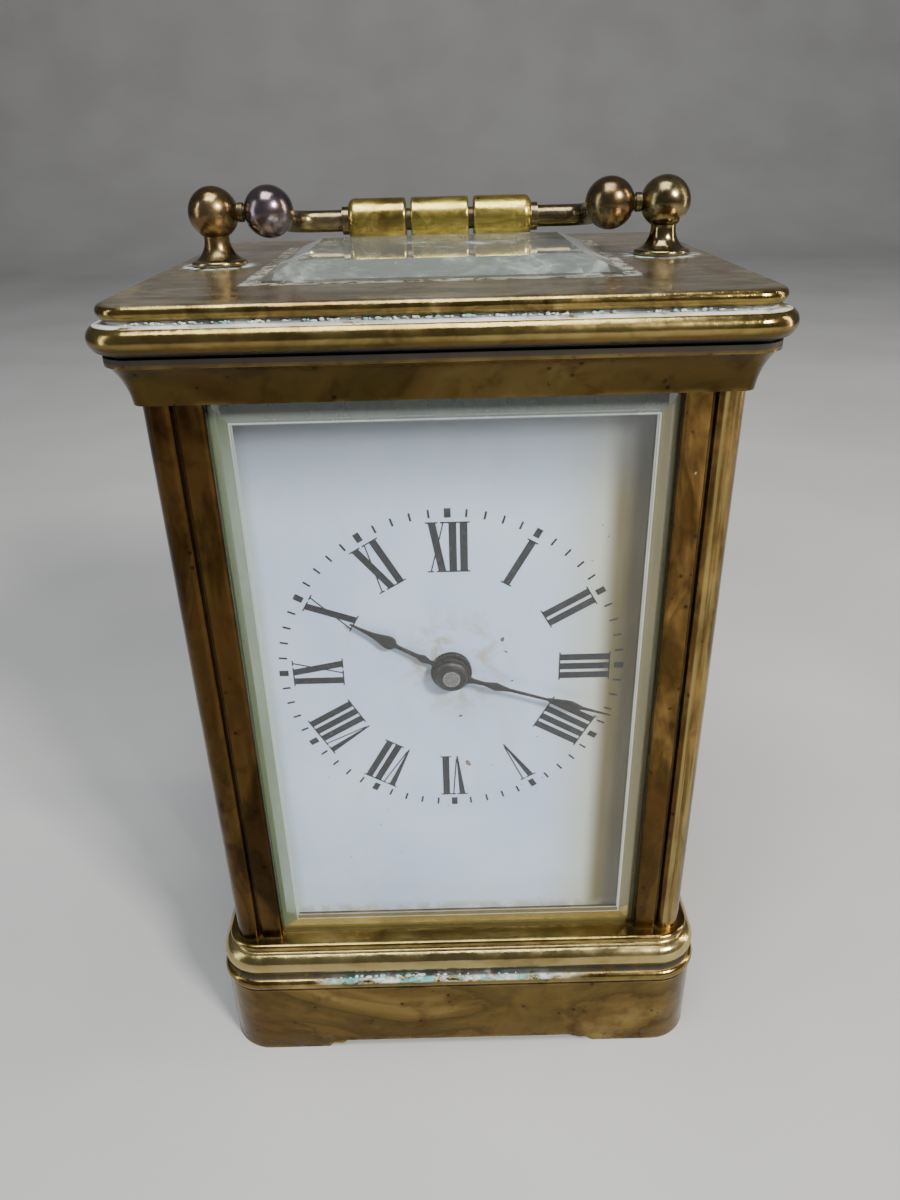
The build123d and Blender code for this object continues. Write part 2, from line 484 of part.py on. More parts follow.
def make_glasses():
    tall = PILLAR_TOP - BASE_TOP + 2 * GLASS_END
    middle = (PILLAR_TOP + BASE_TOP) / 2
    opening = PILLAR_HALF - PILLAR_WIDTH + GLASS_ENGAGE
    inner = PILLAR_HALF - GLASS_SET - GLASS_T
    front = bevelled_pane(2 * opening, tall, GLASS_T, GLASS_BEVEL, GLASS_BEVEL_DROP)
    save("front_glass", Pos(0, DEPTH_STEP - inner, middle) * Rot(90, 0, 0) * front)
    side = bevelled_pane(tall, 2 * (opening - DEPTH_STEP), GLASS_T, GLASS_BEVEL, GLASS_BEVEL_DROP)
    save("left_glass", Pos(-inner, 0, middle) * Rot(0, -90, 0) * side)
    save("right_glass", Pos(inner, 0, middle) * Rot(0, 90, 0) * side)
    gx, gy = TOP_GLASS_HALF
    top = bevelled_pane(2 * gx, 2 * gy, TOP_GLASS_TOP - TOP_GLASS_SEAT, TOP_GLASS_BEVEL, TOP_GLASS_DROP)
    save("top_glass", Pos(0, 0, TOP_GLASS_SEAT) * top)


# ---------------------------------------------------------------- handle
def make_handle():
    foot = PLATE_TOP + POST_FOOT_H
    neck = PLATE_TOP + POST_NECK_H
    flare = outline_face(
        (0, STUD_LOW), (STUD_R, STUD_LOW), (STUD_R, PLATE_TOP), (POST_FOOT_R, PLATE_TOP),
        ((POST_FOOT_R + POST_FOOT_BULGE, (PLATE_TOP + foot) / 2), (POST_FOOT_R, foot)),
        (POST_STEP_R, PLATE_TOP + POST_STEP_H),
        ((POST_COVE_R, PLATE_TOP + POST_COVE_H), (POST_NECK_R, neck)), (0, neck))
    pins = []
    for name, sign in (("left", -1), ("right", 1)):
        post = Pos(sign * POST_X, 0, 0) * (revolve(flare, Axis.Z) + Pos(0, 0, BALL_Z) * Sphere(BALL_R))
        low, high = sorted((sign * (POST_X + PIN_IN_POST), sign * (POST_X - BALL_R - PAST)))
        save(f"handle_post_{name}", post - crossbar(0, BALL_Z, PIVOT_R, low, high))
        low, high = sorted((sign * (POST_X + PIN_IN_POST), sign * (BOW_X - PIN_IN_BOW)))
        pin = crossbar(0, BALL_Z, PIVOT_R, low, high)
        low, high = sorted((sign * (POST_X - BALL_R), sign * (BOW_X + BALL_R + COLLAR_GAP)))
        pins.append(pin + crossbar(0, BALL_Z, COLLAR_R, low, high))
    save("handle_pivot_pins", *pins)

    bar_z = BALL_Z - BOW_DROP
    path = FilletPolyline((-BOW_X, 0, BALL_Z), (-BOW_X, BOW_REACH, bar_z), (BOW_X, BOW_REACH, bar_z),
                          (BOW_X, 0, BALL_Z), radius=BOW_BEND)
    bow = sweep(Plane(origin=path @ 0, z_dir=path % 0) * Circle(BOW_R), path)
    grip_end = 1.5 * GRIP_LEN + GRIP_GAP
    for sign in (-1, 1):
        bow += Pos(sign * BOW_X, 0, BALL_Z) * Sphere(BALL_R)
        low, high = sorted((sign * grip_end, sign * (grip_end + BOW_COLLAR_LEN)))
        bow += crossbar(BOW_REACH, bar_z, BOW_COLLAR_R, low, high)
    for sign in (-1, 1):
        low, high = sorted((sign * (BOW_X - PIN_HOLE_IN_BOW), sign * (BOW_X + BALL_R + PAST)))
        bow -= crossbar(0, BALL_Z, PIVOT_R + PIVOT_CLEAR, low, high)
    save("handle_bow", bow)

    for name, place in (("left", -1), ("middle", 0), ("right", 1)):
        low_round = GRIP_END_ROUND if name == "left" else GRIP_JOINT_ROUND
        high_round = GRIP_END_ROUND if name == "right" else GRIP_JOINT_ROUND
        barrel = Cylinder(GRIP_R, GRIP_LEN)
        barrel = fillet(barrel.edges().sort_by(Axis.Z)[-1], high_round)
        barrel = fillet(barrel.edges().filter_by(GeomType.CIRCLE).sort_by(Axis.Z)[0], low_round)
        barrel -= Cylinder(BOW_R, GRIP_LEN + PAST)
        x = place * (GRIP_LEN + GRIP_GAP)
        save(f"grip_barrel_{name}", Pos(x, BOW_REACH, bar_z) * Rot(0, 90, 0) * barrel)


# ---------------------------------------------------------------- rear door
def make_door():
    middle, tall = (DOOR_LOW + DOOR_HIGH) / 2, DOOR_HIGH - DOOR_LOW
    px, py = door_pivot()
    knuckle = (DOOR_OUT - DOOR_IN) / 2
    plan = block((-DOOR_HALF, px), (DOOR_IN, DOOR_OUT), (DOOR_LOW, DOOR_HIGH))
    plan += upright(px, py, knuckle, DOOR_LOW, DOOR_HIGH)
    rail = DOOR_RAIL
    frame = plan - slab(Pos(0, middle) * Rectangle(2 * (DOOR_HALF - rail), tall - 2 * rail), DOOR_IN, DOOR_OUT)
    lip = rail - DOOR_GLASS_LIP
    pane_w, pane_h = 2 * (DOOR_HALF - lip), tall - 2 * lip
    seat = DOOR_OUT - DOOR_GLASS_COVER
    frame -= slab(Pos(0, middle) * Rectangle(pane_w, pane_h), DOOR_IN, seat)
    depth = DOOR_PIN_BITE + DOOR_PIN_END_GAP
    for low, high in ((DOOR_LOW, DOOR_LOW + depth), (DOOR_HIGH - depth, DOOR_HIGH)):
        frame -= upright(px, py, DOOR_PIN_R + DOOR_PIN_CLEAR, low, high)
    knob_x = -DOOR_HALF + rail / 2
    frame -= disc((knob_x, middle), KNOB_STUD_R, DOOR_OUT - KNOB_STUD_LEN, DOOR_OUT)
    save("door_frame", frame)

    pane = bevelled_pane(pane_w, pane_h, DOOR_GLASS_T, DOOR_BEVEL, DOOR_BEVEL_DROP)
    save("door_glass", Pos(0, seat - DOOR_GLASS_T, middle) * Rot(-90, 0, 0) * pane)
    save("door_hinge_pins", upright(px, py, DOOR_PIN_R, BASE_TOP - DOOR_PIN_BITE, DOOR_LOW + DOOR_PIN_BITE),
         upright(px, py, DOOR_PIN_R, DOOR_HIGH - DOOR_PIN_BITE, PILLAR_TOP + DOOR_PIN_BITE))
    save("door_knob", Pos(knob_x, DOOR_OUT, middle) * Rot(-90, 0, 0) * turned(KNOB_OUTLINE))


# ---------------------------------------------------------------- dial and hands
def dial_feet():
    return [(sign * DIAL_FOOT_X, z) for sign in (-1, 1) for z in DIAL_FOOT_Z]


def make_hand(name, outline, angle, y, eye):
    """Blade turned clockwise from twelve, with its eye."""
    right = [(w, s) for s, w in outline]
    left = [(-w, s) for s, w in reversed(outline)]
    eye_r, bore_r = eye
    flat = Rot(0, 0, -angle) * polygon(right + left) + Circle(eye_r) - Circle(bore_r)
    save(name, slab(Pos(*CENTRE) * flat, y, y + HAND_T))


def make_dial_and_hands():
    sketch = Pos(0, (DIAL_LOW + DIAL_HIGH) / 2) * Rectangle(2 * DIAL_HALF, DIAL_HIGH - DIAL_LOW)
    sketch -= Pos(*CENTRE) * Circle(DIAL_HOLE_R)
    dial = slab(sketch, DIAL_FRONT, DIAL_FRONT + DIAL_T)
    for at in dial_feet():
        dial += disc(at, DIAL_FOOT_R, DIAL_FRONT + DIAL_T, FRONT_PLATE[1] - DIAL_FOOT_SHORT)
    save("dial", dial)
    make_hand("hour_hand", HOUR_OUTLINE, HOUR_ANGLE, HOUR_HAND_Y, HOUR_EYE)
    make_hand("minute_hand", MINUTE_OUTLINE, MINUTE_ANGLE, MINUTE_HAND_Y, MINUTE_EYE)
    save("hand_collet", Pos(CENTRE[0], COLLET_Y, CENTRE[1]) * Rot(90, 0, 0) * turned(COLLET_OUTLINE))


# ---------------------------------------------------------------- movement frame
def third_place():
    """Third arbor: at its two pitch distances from the centre and contrate arbors."""
    a, b = pitch_distance(CENTRE_WHEEL, THIRD_PINION), pitch_distance(THIRD_WHEEL, CONTRATE_PINION)
    dx, dz = CONTRATE[0] - CENTRE[0], CONTRATE[1] - CENTRE[1]
    d = hypot(dx, dz)
    along = (a * a - b * b + d * d) / (2 * d)
    off = sqrt(a * a - along * along)
    return (CENTRE[0] + (along * dx - off * dz) / d, CENTRE[1] + (along * dz + off * dx) / d)


def minute_wheel_place():
    reach, turn = pitch_distance(MINUTE_WHEEL, CANNON), radians(MINUTE_WHEEL_DIRECTION)
    return (CENTRE[0] + reach * cos(turn), CENTRE[1] + reach * sin(turn))


THIRD = third_place()
MINUTE_STUD = minute_wheel_place()


def movement_posts():
    return [(sign * x, z) for sign in (-1, 1) for x, z in (LOW_POST, HIGH_POST)]


def make_movement_frame():
    middle, tall = (BASE_TOP + MOVEMENT_TOP) / 2, MOVEMENT_TOP - BASE_TOP
    outline = Pos(0, middle) * Rectangle(2 * PLATE_HALF, tall)
    outline = fillet(outline.vertices().sort_by(Axis.Y)[-2:], PLATE_CORNER)
    shared = [(THIRD, TRAIN_PIVOT_R), (CONTRATE, TRAIN_PIVOT_R)]
    front_centre, back_centre = CENTRE_PIVOT_R
    for name, (y0, y1), holes in (
            ("movement_front_plate", FRONT_PLATE, shared + [(BARREL, ARBOR_PIVOT_R), (CENTRE, front_centre)]),
            ("movement_back_plate", BACK_PLATE, shared + [(BARREL, ARBOR_BACK_R), (CENTRE, back_centre)])):
        plate = slab(outline, y0, y1)
        for at, r in holes:
            plate -= disc(at, r + SHAKE, y0, y1)
        for at in movement_posts():
            plate -= disc(at, MOVEMENT_SCREW[2], y0, y1)
        if name == "movement_front_plate":
            for at in dial_feet():
                plate -= disc(at, DIAL_FOOT_R, y0, y1 - DIAL_FOOT_SHORT)
            plate += disc(MINUTE_STUD, MINUTE_STUD_R, MINUTE_STUD_FRONT, y1)
        else:
            plate -= disc(CLICK, CLICK_SCREW[2], y0, y1)
            plate -= disc(SPRING_FOOT, SPRING_SCREW[2], y0, y1)
        for x, y in PLATFORM_SCREWS:
            if y0 < y < y1:
                plate -= upright(x, y, PLATFORM_SCREW[2], MOVEMENT_TOP - TAP_DEPTH, MOVEMENT_TOP)
        save(name, plate)

    posts, screws = [], []
    for x, z in movement_posts():
        post = disc((x, z), MOVEMENT_POST_R, FRONT_PLATE[1], BACK_PLATE[0])
        post -= disc((x, z), MOVEMENT_SCREW[2], FRONT_PLATE[1], FRONT_PLATE[1] + TAP_DEPTH)
        post -= disc((x, z), MOVEMENT_SCREW[2], BACK_PLATE[0] - TAP_DEPTH, BACK_PLATE[0])
        if z == LOW_POST[1]:
            post -= upright(x, 0, CASE_SCREW_R, FLOOR_Z, FLOOR_Z + MOVEMENT_SCREW_LEN)
        posts.append(post)
        for y, turn in ((FRONT_PLATE[0], -90), (BACK_PLATE[1], 90)):
            screws.append(Pos(x, y, z) * Rot(turn, 0, 0) * screw(*MOVEMENT_SCREW, MOVEMENT_SCREW_REACH))
    save("movement_pillars", *posts)
    save("movement_screws", *screws)


# ---------------------------------------------------------------- power
def make_barrel():
    front, back = DRUM
    bore = ARBOR_R + SHAKE
    great = toothed(GREAT, WHEEL_ADD, WHEEL_DED, BARREL, bearing(BARREL, CENTRE))
    drum = disc(BARREL, DRUM_R, front, back) - disc(BARREL, DRUM_R - DRUM_WALL, front + DRUM_WALL, back)
    drum += slab(great, front - GREAT_T, front)
    save("barrel_drum", drum - disc(BARREL, bore, front - GREAT_T, back))
    cap = disc(BARREL, DRUM_R, back, back + CAP_T) - disc(BARREL, bore, back, back + CAP_T)
    save("barrel_cap", cap - disc((BARREL[0], BARREL[1] + CAP_HOLE_UP), CAP_HOLE_R, back, back + CAP_T))
    coil = Pos(*BARREL) * spiral_strip(*SPRING_R, SPRING_TURNS, SPRING_STRIP, SPRING_STEPS)
    save("mainspring", slab(coil, front + DRUM_WALL + SPRING_GAP, back - SPRING_GAP))

    square_low, square_high = ARBOR_SQUARE_Y
    front_shoulder, back_shoulder = front - ARBOR_SHOULDERS[0], back + ARBOR_SHOULDERS[1]
    arbor = disc(BARREL, ARBOR_PIVOT_R, FRONT_PLATE[0] + END_SHAKE / 2, front_shoulder)
    arbor += disc(BARREL, ARBOR_R, front_shoulder, back_shoulder)
    arbor += disc(BARREL, ARBOR_CORE_R, front + DRUM_WALL + END_SHAKE, back - END_SHAKE)
    arbor += disc(BARREL, ARBOR_BACK_R, back_shoulder, square_low)
    arbor += slab(Pos(*BARREL) * Rectangle(ARBOR_SQUARE, ARBOR_SQUARE), square_low, square_high)
    save("winding_arbor", arbor)

    saw = []
    for tooth in range(RATCHET_TEETH):
        start, end = (2 * pi * (tooth + part) / RATCHET_TEETH for part in (0, RATCHET_SLOPE))
        saw += [(RATCHET_ROOT_R * cos(start), RATCHET_ROOT_R * sin(start)),
                (RATCHET_TIP_R * cos(end), RATCHET_TIP_R * sin(end))]
    save("ratchet_wheel", slab(Pos(*BARREL) * (polygon(saw) - Circle(ARBOR_BACK_R)), *RATCHET))

    (px, pz), (tx, tz) = CLICK, CLICK_TIP
    click = hull((px, pz, 1.9), (px + 4.2, pz + 0.9, 1.15)) + polygon(
        [(px + 3.6, pz + 2.0), (px + 5.6, pz + 1.9), (tx, tz + 0.55), (tx, tz), (px + 4.4, pz - 0.25)])
    save("click", slab(click - Pos(*CLICK) * Circle(CLICK_BORE_R + SHAKE), RATCHET[0], CLICK_BACK))
    sx, sz = SPRING_FOOT
    blade = polygon([(sx, sz - 0.35), (px - 1.0, pz + 3.0), (px + 3.5, pz + 3.3), (px + 3.5, pz + 3.65),
                     (px - 1.1, pz + 3.4), (sx, sz + 0.35)])
    spring = blade + Pos(sx, sz) * Circle(1.6) - Pos(sx, sz) * Circle(SPRING_BORE_R)
    save("click_spring", slab(spring, RATCHET[0], SPRING_BACK))
    pivot = Pos(px, CLICK_BACK + END_SHAKE / 2, pz) * Rot(90, 0, 0) * screw(*CLICK_SCREW, CLICK_SCREW_REACH)
    foot = Pos(sx, SPRING_BACK, sz) * Rot(90, 0, 0) * screw(*SPRING_SCREW, SPRING_SCREW_REACH)
    save("click_screws", pivot, foot)


# ---------------------------------------------------------------- going train
def pinion_slab(gear, at, phase, y):
    return slab(toothed(gear, PINION_ADD, PINION_DED, at, phase), *y)


def wheel_slab(gear, at, phase, y):
    return slab(toothed(gear, WHEEL_ADD, WHEEL_DED, at, phase), *y)


def inside_frame():
    """Stations of an arbor's shoulders between the plates."""
    return FRONT_PLATE[1] + END_SHAKE, BACK_PLATE[0] - END_SHAKE


def make_arbor(name, at, gear, phase, pinion_y, body_r):
    body = disc(at, body_r, *inside_frame())
    body += disc(at, TRAIN_PIVOT_R, FRONT_PLATE[0] + END_SHAKE, BACK_PLATE[1] - END_SHAKE)
    save(name, body + pinion_slab(gear, at, phase, pinion_y))


def make_wheel(name, gear, at, phase, blank, bore_r):
    y, hub_r, rim_r, arms, arm_w = blank
    windows = slab(crossings(at, hub_r, rim_r, arms, arm_w) + Pos(*at) * Circle(bore_r), *y)
    save(name, wheel_slab(gear, at, phase, y) - windows)


def make_centre():
    low, high = inside_frame()
    body = disc(CENTRE, CENTRE_PIVOT_R[0], CENTRE_NOSE, CENTRE_SEAT_END)
    body += disc(CENTRE, CENTRE_SEAT_R, low, CENTRE_SEAT_END)
    body += disc(CENTRE, CENTRE_BODY_R, CENTRE_SEAT_END, high)
    body += disc(CENTRE, CENTRE_PIVOT_R[1], high, CENTRE_TAIL)
    body += slab(Pos(*CENTRE) * Rectangle(CENTRE_SQUARE, CENTRE_SQUARE), CENTRE_TAIL, CENTRE_SQUARE_END)
    phase = mesh_phase(BARREL, CENTRE, CENTRE_PINION[0])
    save("centre_arbor", body + pinion_slab(CENTRE_PINION, CENTRE, phase, CENTRE_PINION_Y))
    make_wheel("centre_wheel", CENTRE_WHEEL, CENTRE, bearing(CENTRE, THIRD), CENTRE_BLANK, CENTRE_SEAT_R)


def make_contrate_wheel():
    """Crown wheel: teeth standing along Y on a flat rim."""
    rim = CONTRATE_TOOTH_IN - CONTRATE_RIM
    web = Circle(CONTRATE_R) - crossings((0, 0), CONTRATE_HUB_R, rim, CONTRATE_ARMS, CONTRATE_ARM_W)
    contrate = slab(Pos(*CONTRATE) * (web - Circle(CONTRATE_BODY_R)), *CONTRATE_WEB)
    middle, length = (CONTRATE_R + CONTRATE_TOOTH_IN) / 2, CONTRATE_R - CONTRATE_TOOTH_IN
    tooth = slab(Pos(middle, 0) * Rectangle(length, CONTRATE_TOOTH_W), CONTRATE_WEB[1], CONTRATE_TIPS)
    for k in range(CONTRATE_TEETH):
        turn = 90 - 360 * k / CONTRATE_TEETH
        contrate += Pos(CONTRATE[0], 0, CONTRATE[1]) * Rot(0, -turn, 0) * tooth
    save("contrate_wheel", contrate)


def make_motion_work():
    cannon = disc(CENTRE, CANNON_R, *CANNON_PIPE)
    cannon += pinion_slab(CANNON, CENTRE, bearing(CENTRE, MINUTE_STUD), CANNON_TEETH)
    save("cannon_pinion", cannon - disc(CENTRE, CENTRE_PIVOT_R[0], CANNON_PIPE[0], CANNON_TEETH[1]))
    phase = mesh_phase(CENTRE, MINUTE_STUD, MINUTE_WHEEL[0])
    minute = wheel_slab(MINUTE_WHEEL, MINUTE_STUD, phase, MINUTE_WHEEL_Y)
    minute += pinion_slab(MINUTE_PINION, MINUTE_STUD, bearing(MINUTE_STUD, CENTRE), MINUTE_PINION_Y)
    bore = disc(MINUTE_STUD, MINUTE_STUD_R + SHAKE, MINUTE_PINION_Y[0], MINUTE_WHEEL_Y[1])
    save("minute_wheel", minute - bore)
    hour = wheel_slab(HOUR_WHEEL, CENTRE, mesh_phase(MINUTE_STUD, CENTRE, HOUR_WHEEL[0]), HOUR_WHEEL_Y)
    hour += disc(CENTRE, HOUR_PIPE_R, HOUR_PIPE_FRONT, HOUR_WHEEL_Y[1])
    save("hour_wheel", hour - disc(CENTRE, CANNON_R + SHAKE, HOUR_PIPE_FRONT, HOUR_WHEEL_Y[1]))


def make_train():
    make_centre()
    make_arbor("third_arbor", THIRD, THIRD_PINION, mesh_phase(CENTRE, THIRD, THIRD_PINION[0]),
               THIRD_PINION_Y, THIRD_BODY_R)
    make_wheel("third_wheel", THIRD_WHEEL, THIRD, bearing(THIRD, CONTRATE), THIRD_BLANK, THIRD_BODY_R)
    make_arbor("contrate_arbor", CONTRATE, CONTRATE_PINION, mesh_phase(THIRD, CONTRATE, CONTRATE_PINION[0]),
               CONTRATE_PINION_Y, CONTRATE_BODY_R)
    make_contrate_wheel()
    make_motion_work()


# ---------------------------------------------------------------- platform escapement
def make_platform_plate():
    low, high = MOVEMENT_TOP, MOVEMENT_TOP + PLATFORM_T
    (x0, x1), (y0, y1) = PLATFORM_X, (FRONT_PLATE[0], BACK_PLATE[1])
    outline = Pos((x0 + x1) / 2, (y0 + y1) / 2) * RectangleRounded(x1 - x0, y1 - y0, PLATFORM_CORNER)
    plate = sheet(outline, low, high)
    holes = [(at, PLATFORM_SCREW[2]) for at in PLATFORM_SCREWS] + [(at, COCK_SCREW[2]) for at in COCK_FEET]
    holes += [(at, SMALL_PIVOT_R + SHAKE) for at in (LEVER, BALANCE)] + [(ESCAPE, ESCAPE_WELL_R)]
    for at, r in holes:
        plate -= upright(*at, r, low, high)
    (ex, ey), (lx, ly) = ESCAPE, LEVER
    shelf_low, shelf_high = POTENCE_Z
    across = (ex - POTENCE_HALF, ex + POTENCE_HALF)
    plate += block(across, POTENCE_Y, (shelf_low, low))
    plate += block(across, POTENCE_SHELF_Y, POTENCE_Z)
    for sign in (-1, 1):
        plate += upright(lx - BANKING_BACK, ly + sign * BANKING_HALF, BANKING_R, high, BANKING_TOP)
    save("platform_plate", plate - upright(ex, ey, ESCAPE_PIVOT_R + SHAKE, shelf_low, shelf_high))

    screws = [Pos(x, y, high) * Rot(180, 0, 0) * screw(*PLATFORM_SCREW, PLATFORM_T + PLATFORM_SCREW_BITE)
              for x, y in PLATFORM_SCREWS]
    for (x, y), top in zip(COCK_FEET, (COCK_Z[1], BALANCE_COCK_Z[1])):
        screws.append(Pos(x, y, top) * Rot(180, 0, 0) * screw(*COCK_SCREW, top - high + COCK_SCREW_BITE))
    save("platform_screws", *screws)


def make_escape():
    leaf = [(LEAF_ROOT_R, -LEAF_ROOT_HALF), (LEAF_TIP_R - LEAF_SHOULDER, -LEAF_SHOULDER_HALF),
            (LEAF_TIP_R, -LEAF_TIP_HALF), (LEAF_TIP_R, LEAF_TIP_HALF),
            (LEAF_TIP_R - LEAF_SHOULDER, LEAF_SHOULDER_HALF), (LEAF_ROOT_R, LEAF_ROOT_HALF)]
    pinion, club = [], []
    for k in range(ESCAPE_PINION_TEETH):
        middle = 2 * pi * k / ESCAPE_PINION_TEETH
        pinion += [(r * cos(middle + a), r * sin(middle + a)) for r, a in leaf]
    for tooth in range(ESCAPE_TEETH):
        angles = [(r, radians(360 * tooth / ESCAPE_TEETH + turn)) for r, turn in CLUB_TOOTH]
        club += [(r * cos(a), r * sin(a)) for r, a in angles]
    leaves = Rot(0, 0, -90 + 180 / ESCAPE_PINION_TEETH) * polygon(pinion)
    arbor = upright(*ESCAPE, ESCAPE_PIVOT_R, ESCAPE_LOW, LEVER_TOP)
    arbor += upright(*ESCAPE, ESCAPE_BODY_R, *ESCAPE_BODY_Z)
    save("escape_arbor", arbor + sheet(Pos(*ESCAPE) * leaves, *LEAF_Z))
    windows = crossings((0, 0), ESCAPE_HUB_R, ESCAPE_RIM_R, ESCAPE_ARMS, ESCAPE_ARM_W) + Circle(ESCAPE_BODY_R)
    save("escape_wheel", sheet(Pos(*ESCAPE) * (polygon(club) - windows), *ESCAPE_Z))


def make_lever():
    lx, ly = LEVER
    px, py = PALLET_REACH
    arms = hull((lx, ly, 0.9), (lx + px, ly + py, PALLET_TIP_R))
    arms += hull((lx, ly, 0.9), (lx + px, ly - py, PALLET_TIP_R))
    arms += hull((lx, ly, 0.7), (lx - LEVER_TAIL, ly, 0.35)) + Pos(lx - LEVER_FORK, ly) * Rectangle(1.2, 1.5)
    arms -= Pos(lx - LEVER_FORK - 0.35, ly) * Rectangle(0.8, 0.5)
    staff = upright(lx, ly, SMALL_PIVOT_R, PIVOT_LOW, LEVER_TOP) + upright(lx, ly, LEVER_BODY_R, *LEVER_BODY_Z)
    save("pallet_lever", sheet(arms, *ESCAPE_Z) + staff)


def make_cocks():
    high = MOVEMENT_TOP + PLATFORM_T
    (ex, ey), (lx, ly), (bx, by) = ESCAPE, LEVER, BALANCE
    (fx, fy), (gx, gy) = COCK_FEET
    foot = Pos(fx, fy) * RectangleRounded(5.0, 3.4, 0.6)
    body = sheet(hull((ex, ey, 1.3), (lx, ly, 1.1), (fx, fy - 0.3, 1.6)) + foot, *COCK_Z)
    body += sheet(foot, high, COCK_Z[1])
    for at, r in ((ESCAPE, ESCAPE_PIVOT_R), (LEVER, SMALL_PIVOT_R)):
        body -= upright(*at, r + SHAKE, *COCK_Z)
    save("escape_cock", body - upright(fx, fy, COCK_SCREW[2], high, COCK_Z[1]))

    low, top = BALANCE_COCK_Z
    near, far = STUD_ARM_X
    arm = hull((bx, by, 2.0), (gx - 2.2, gy - 0.4, 1.3), (gx + 2.2, gy - 0.4, 1.3))
    cock = sheet(arm, low, top) + sheet(Pos(gx, gy) * RectangleRounded(7.0, 3.0, 0.6), high, top)
    across = (by - STUD_ARM_HALF, by + STUD_ARM_HALF)
    cock += block((bx, bx + far), across, (low, top))
    cock += block((bx + near, bx + far), across, STUD_HANG_Z)
    cock -= upright(bx, by, SMALL_PIVOT_R + SHAKE, low, top)
    save("balance_cock", cock - upright(gx, gy, COCK_SCREW[2], high, top))


def make_balance():
    bx, by = BALANCE
    low, high = BALANCE_Z
    rim = Circle(BALANCE_R) - Circle(BALANCE_R - BALANCE_RIM) + Circle(BALANCE_HUB_R)
    rim += Rectangle(2 * (BALANCE_R - 0.6 * BALANCE_RIM), BALANCE_ARM_W)
    balance = sheet(Pos(bx, by) * (rim - Circle(STAFF_R)), low, high)
    for k in range(BALANCE_SCREWS):
        turn = Rot(0, 0, 360 * (k + 0.5) / BALANCE_SCREWS)
        place = Pos(bx, by, (low + high) / 2) * turn * Pos(BALANCE_R - 0.2, 0, 0) * Rot(0, 90, 0)
        balance += place * Cylinder(BALANCE_SCREW_R, BALANCE_SCREW_LEN, align=LOW)
    save("balance_wheel", balance)
    staff = upright(bx, by, SMALL_PIVOT_R, PIVOT_LOW, STAFF_TOP) + upright(bx, by, STAFF_R, *STAFF_Z)
    staff += upright(bx, by, ROLLER_R, *ROLLER_Z)
    staff += upright(bx + IMPULSE_PIN_X, by, IMPULSE_PIN_R, *IMPULSE_PIN_Z)
    save("balance_staff", staff + upright(bx, by, COLLET_R, *COLLET_Z))
    coil = spiral_strip(*HAIRSPRING_R, HAIRSPRING_TURNS, HAIRSPRING_STRIP, HAIRSPRING_STEPS)
    save("hairspring", sheet(Pos(bx, by) * coil, *HAIRSPRING_Z))
    index = hull((bx, by, 1.5), (bx + 0.3, by - REGULATOR_REACH, 0.3)) + Pos(bx, by) * Circle(REGULATOR_R)
    save("regulator", sheet(index - Pos(bx, by) * Circle(REGULATOR_BORE_R), *REGULATOR_Z))


make_base()
make_pillars()
make_cornice()
make_glasses()
make_handle()
make_door()
make_dial_and_hands()
make_movement_frame()
make_barrel()
make_train()
make_platform_plate()
make_escape()
make_lever()
make_cocks()
make_balance()
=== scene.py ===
import math
import random

import bmesh
import bpy
from mathutils import Matrix, Vector


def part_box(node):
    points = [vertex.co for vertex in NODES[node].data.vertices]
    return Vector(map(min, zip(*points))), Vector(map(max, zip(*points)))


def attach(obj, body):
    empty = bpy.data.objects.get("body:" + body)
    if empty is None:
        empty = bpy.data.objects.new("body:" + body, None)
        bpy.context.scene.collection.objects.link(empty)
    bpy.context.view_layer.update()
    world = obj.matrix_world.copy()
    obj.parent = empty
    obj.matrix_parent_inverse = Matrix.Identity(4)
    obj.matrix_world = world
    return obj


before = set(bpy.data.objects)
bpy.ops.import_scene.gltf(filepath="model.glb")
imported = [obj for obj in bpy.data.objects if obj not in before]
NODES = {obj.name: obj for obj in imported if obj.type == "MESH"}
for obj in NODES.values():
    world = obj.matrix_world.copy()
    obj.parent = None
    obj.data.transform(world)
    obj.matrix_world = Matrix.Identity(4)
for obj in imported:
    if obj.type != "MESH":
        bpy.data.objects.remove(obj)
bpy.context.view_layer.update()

MM = 0.001


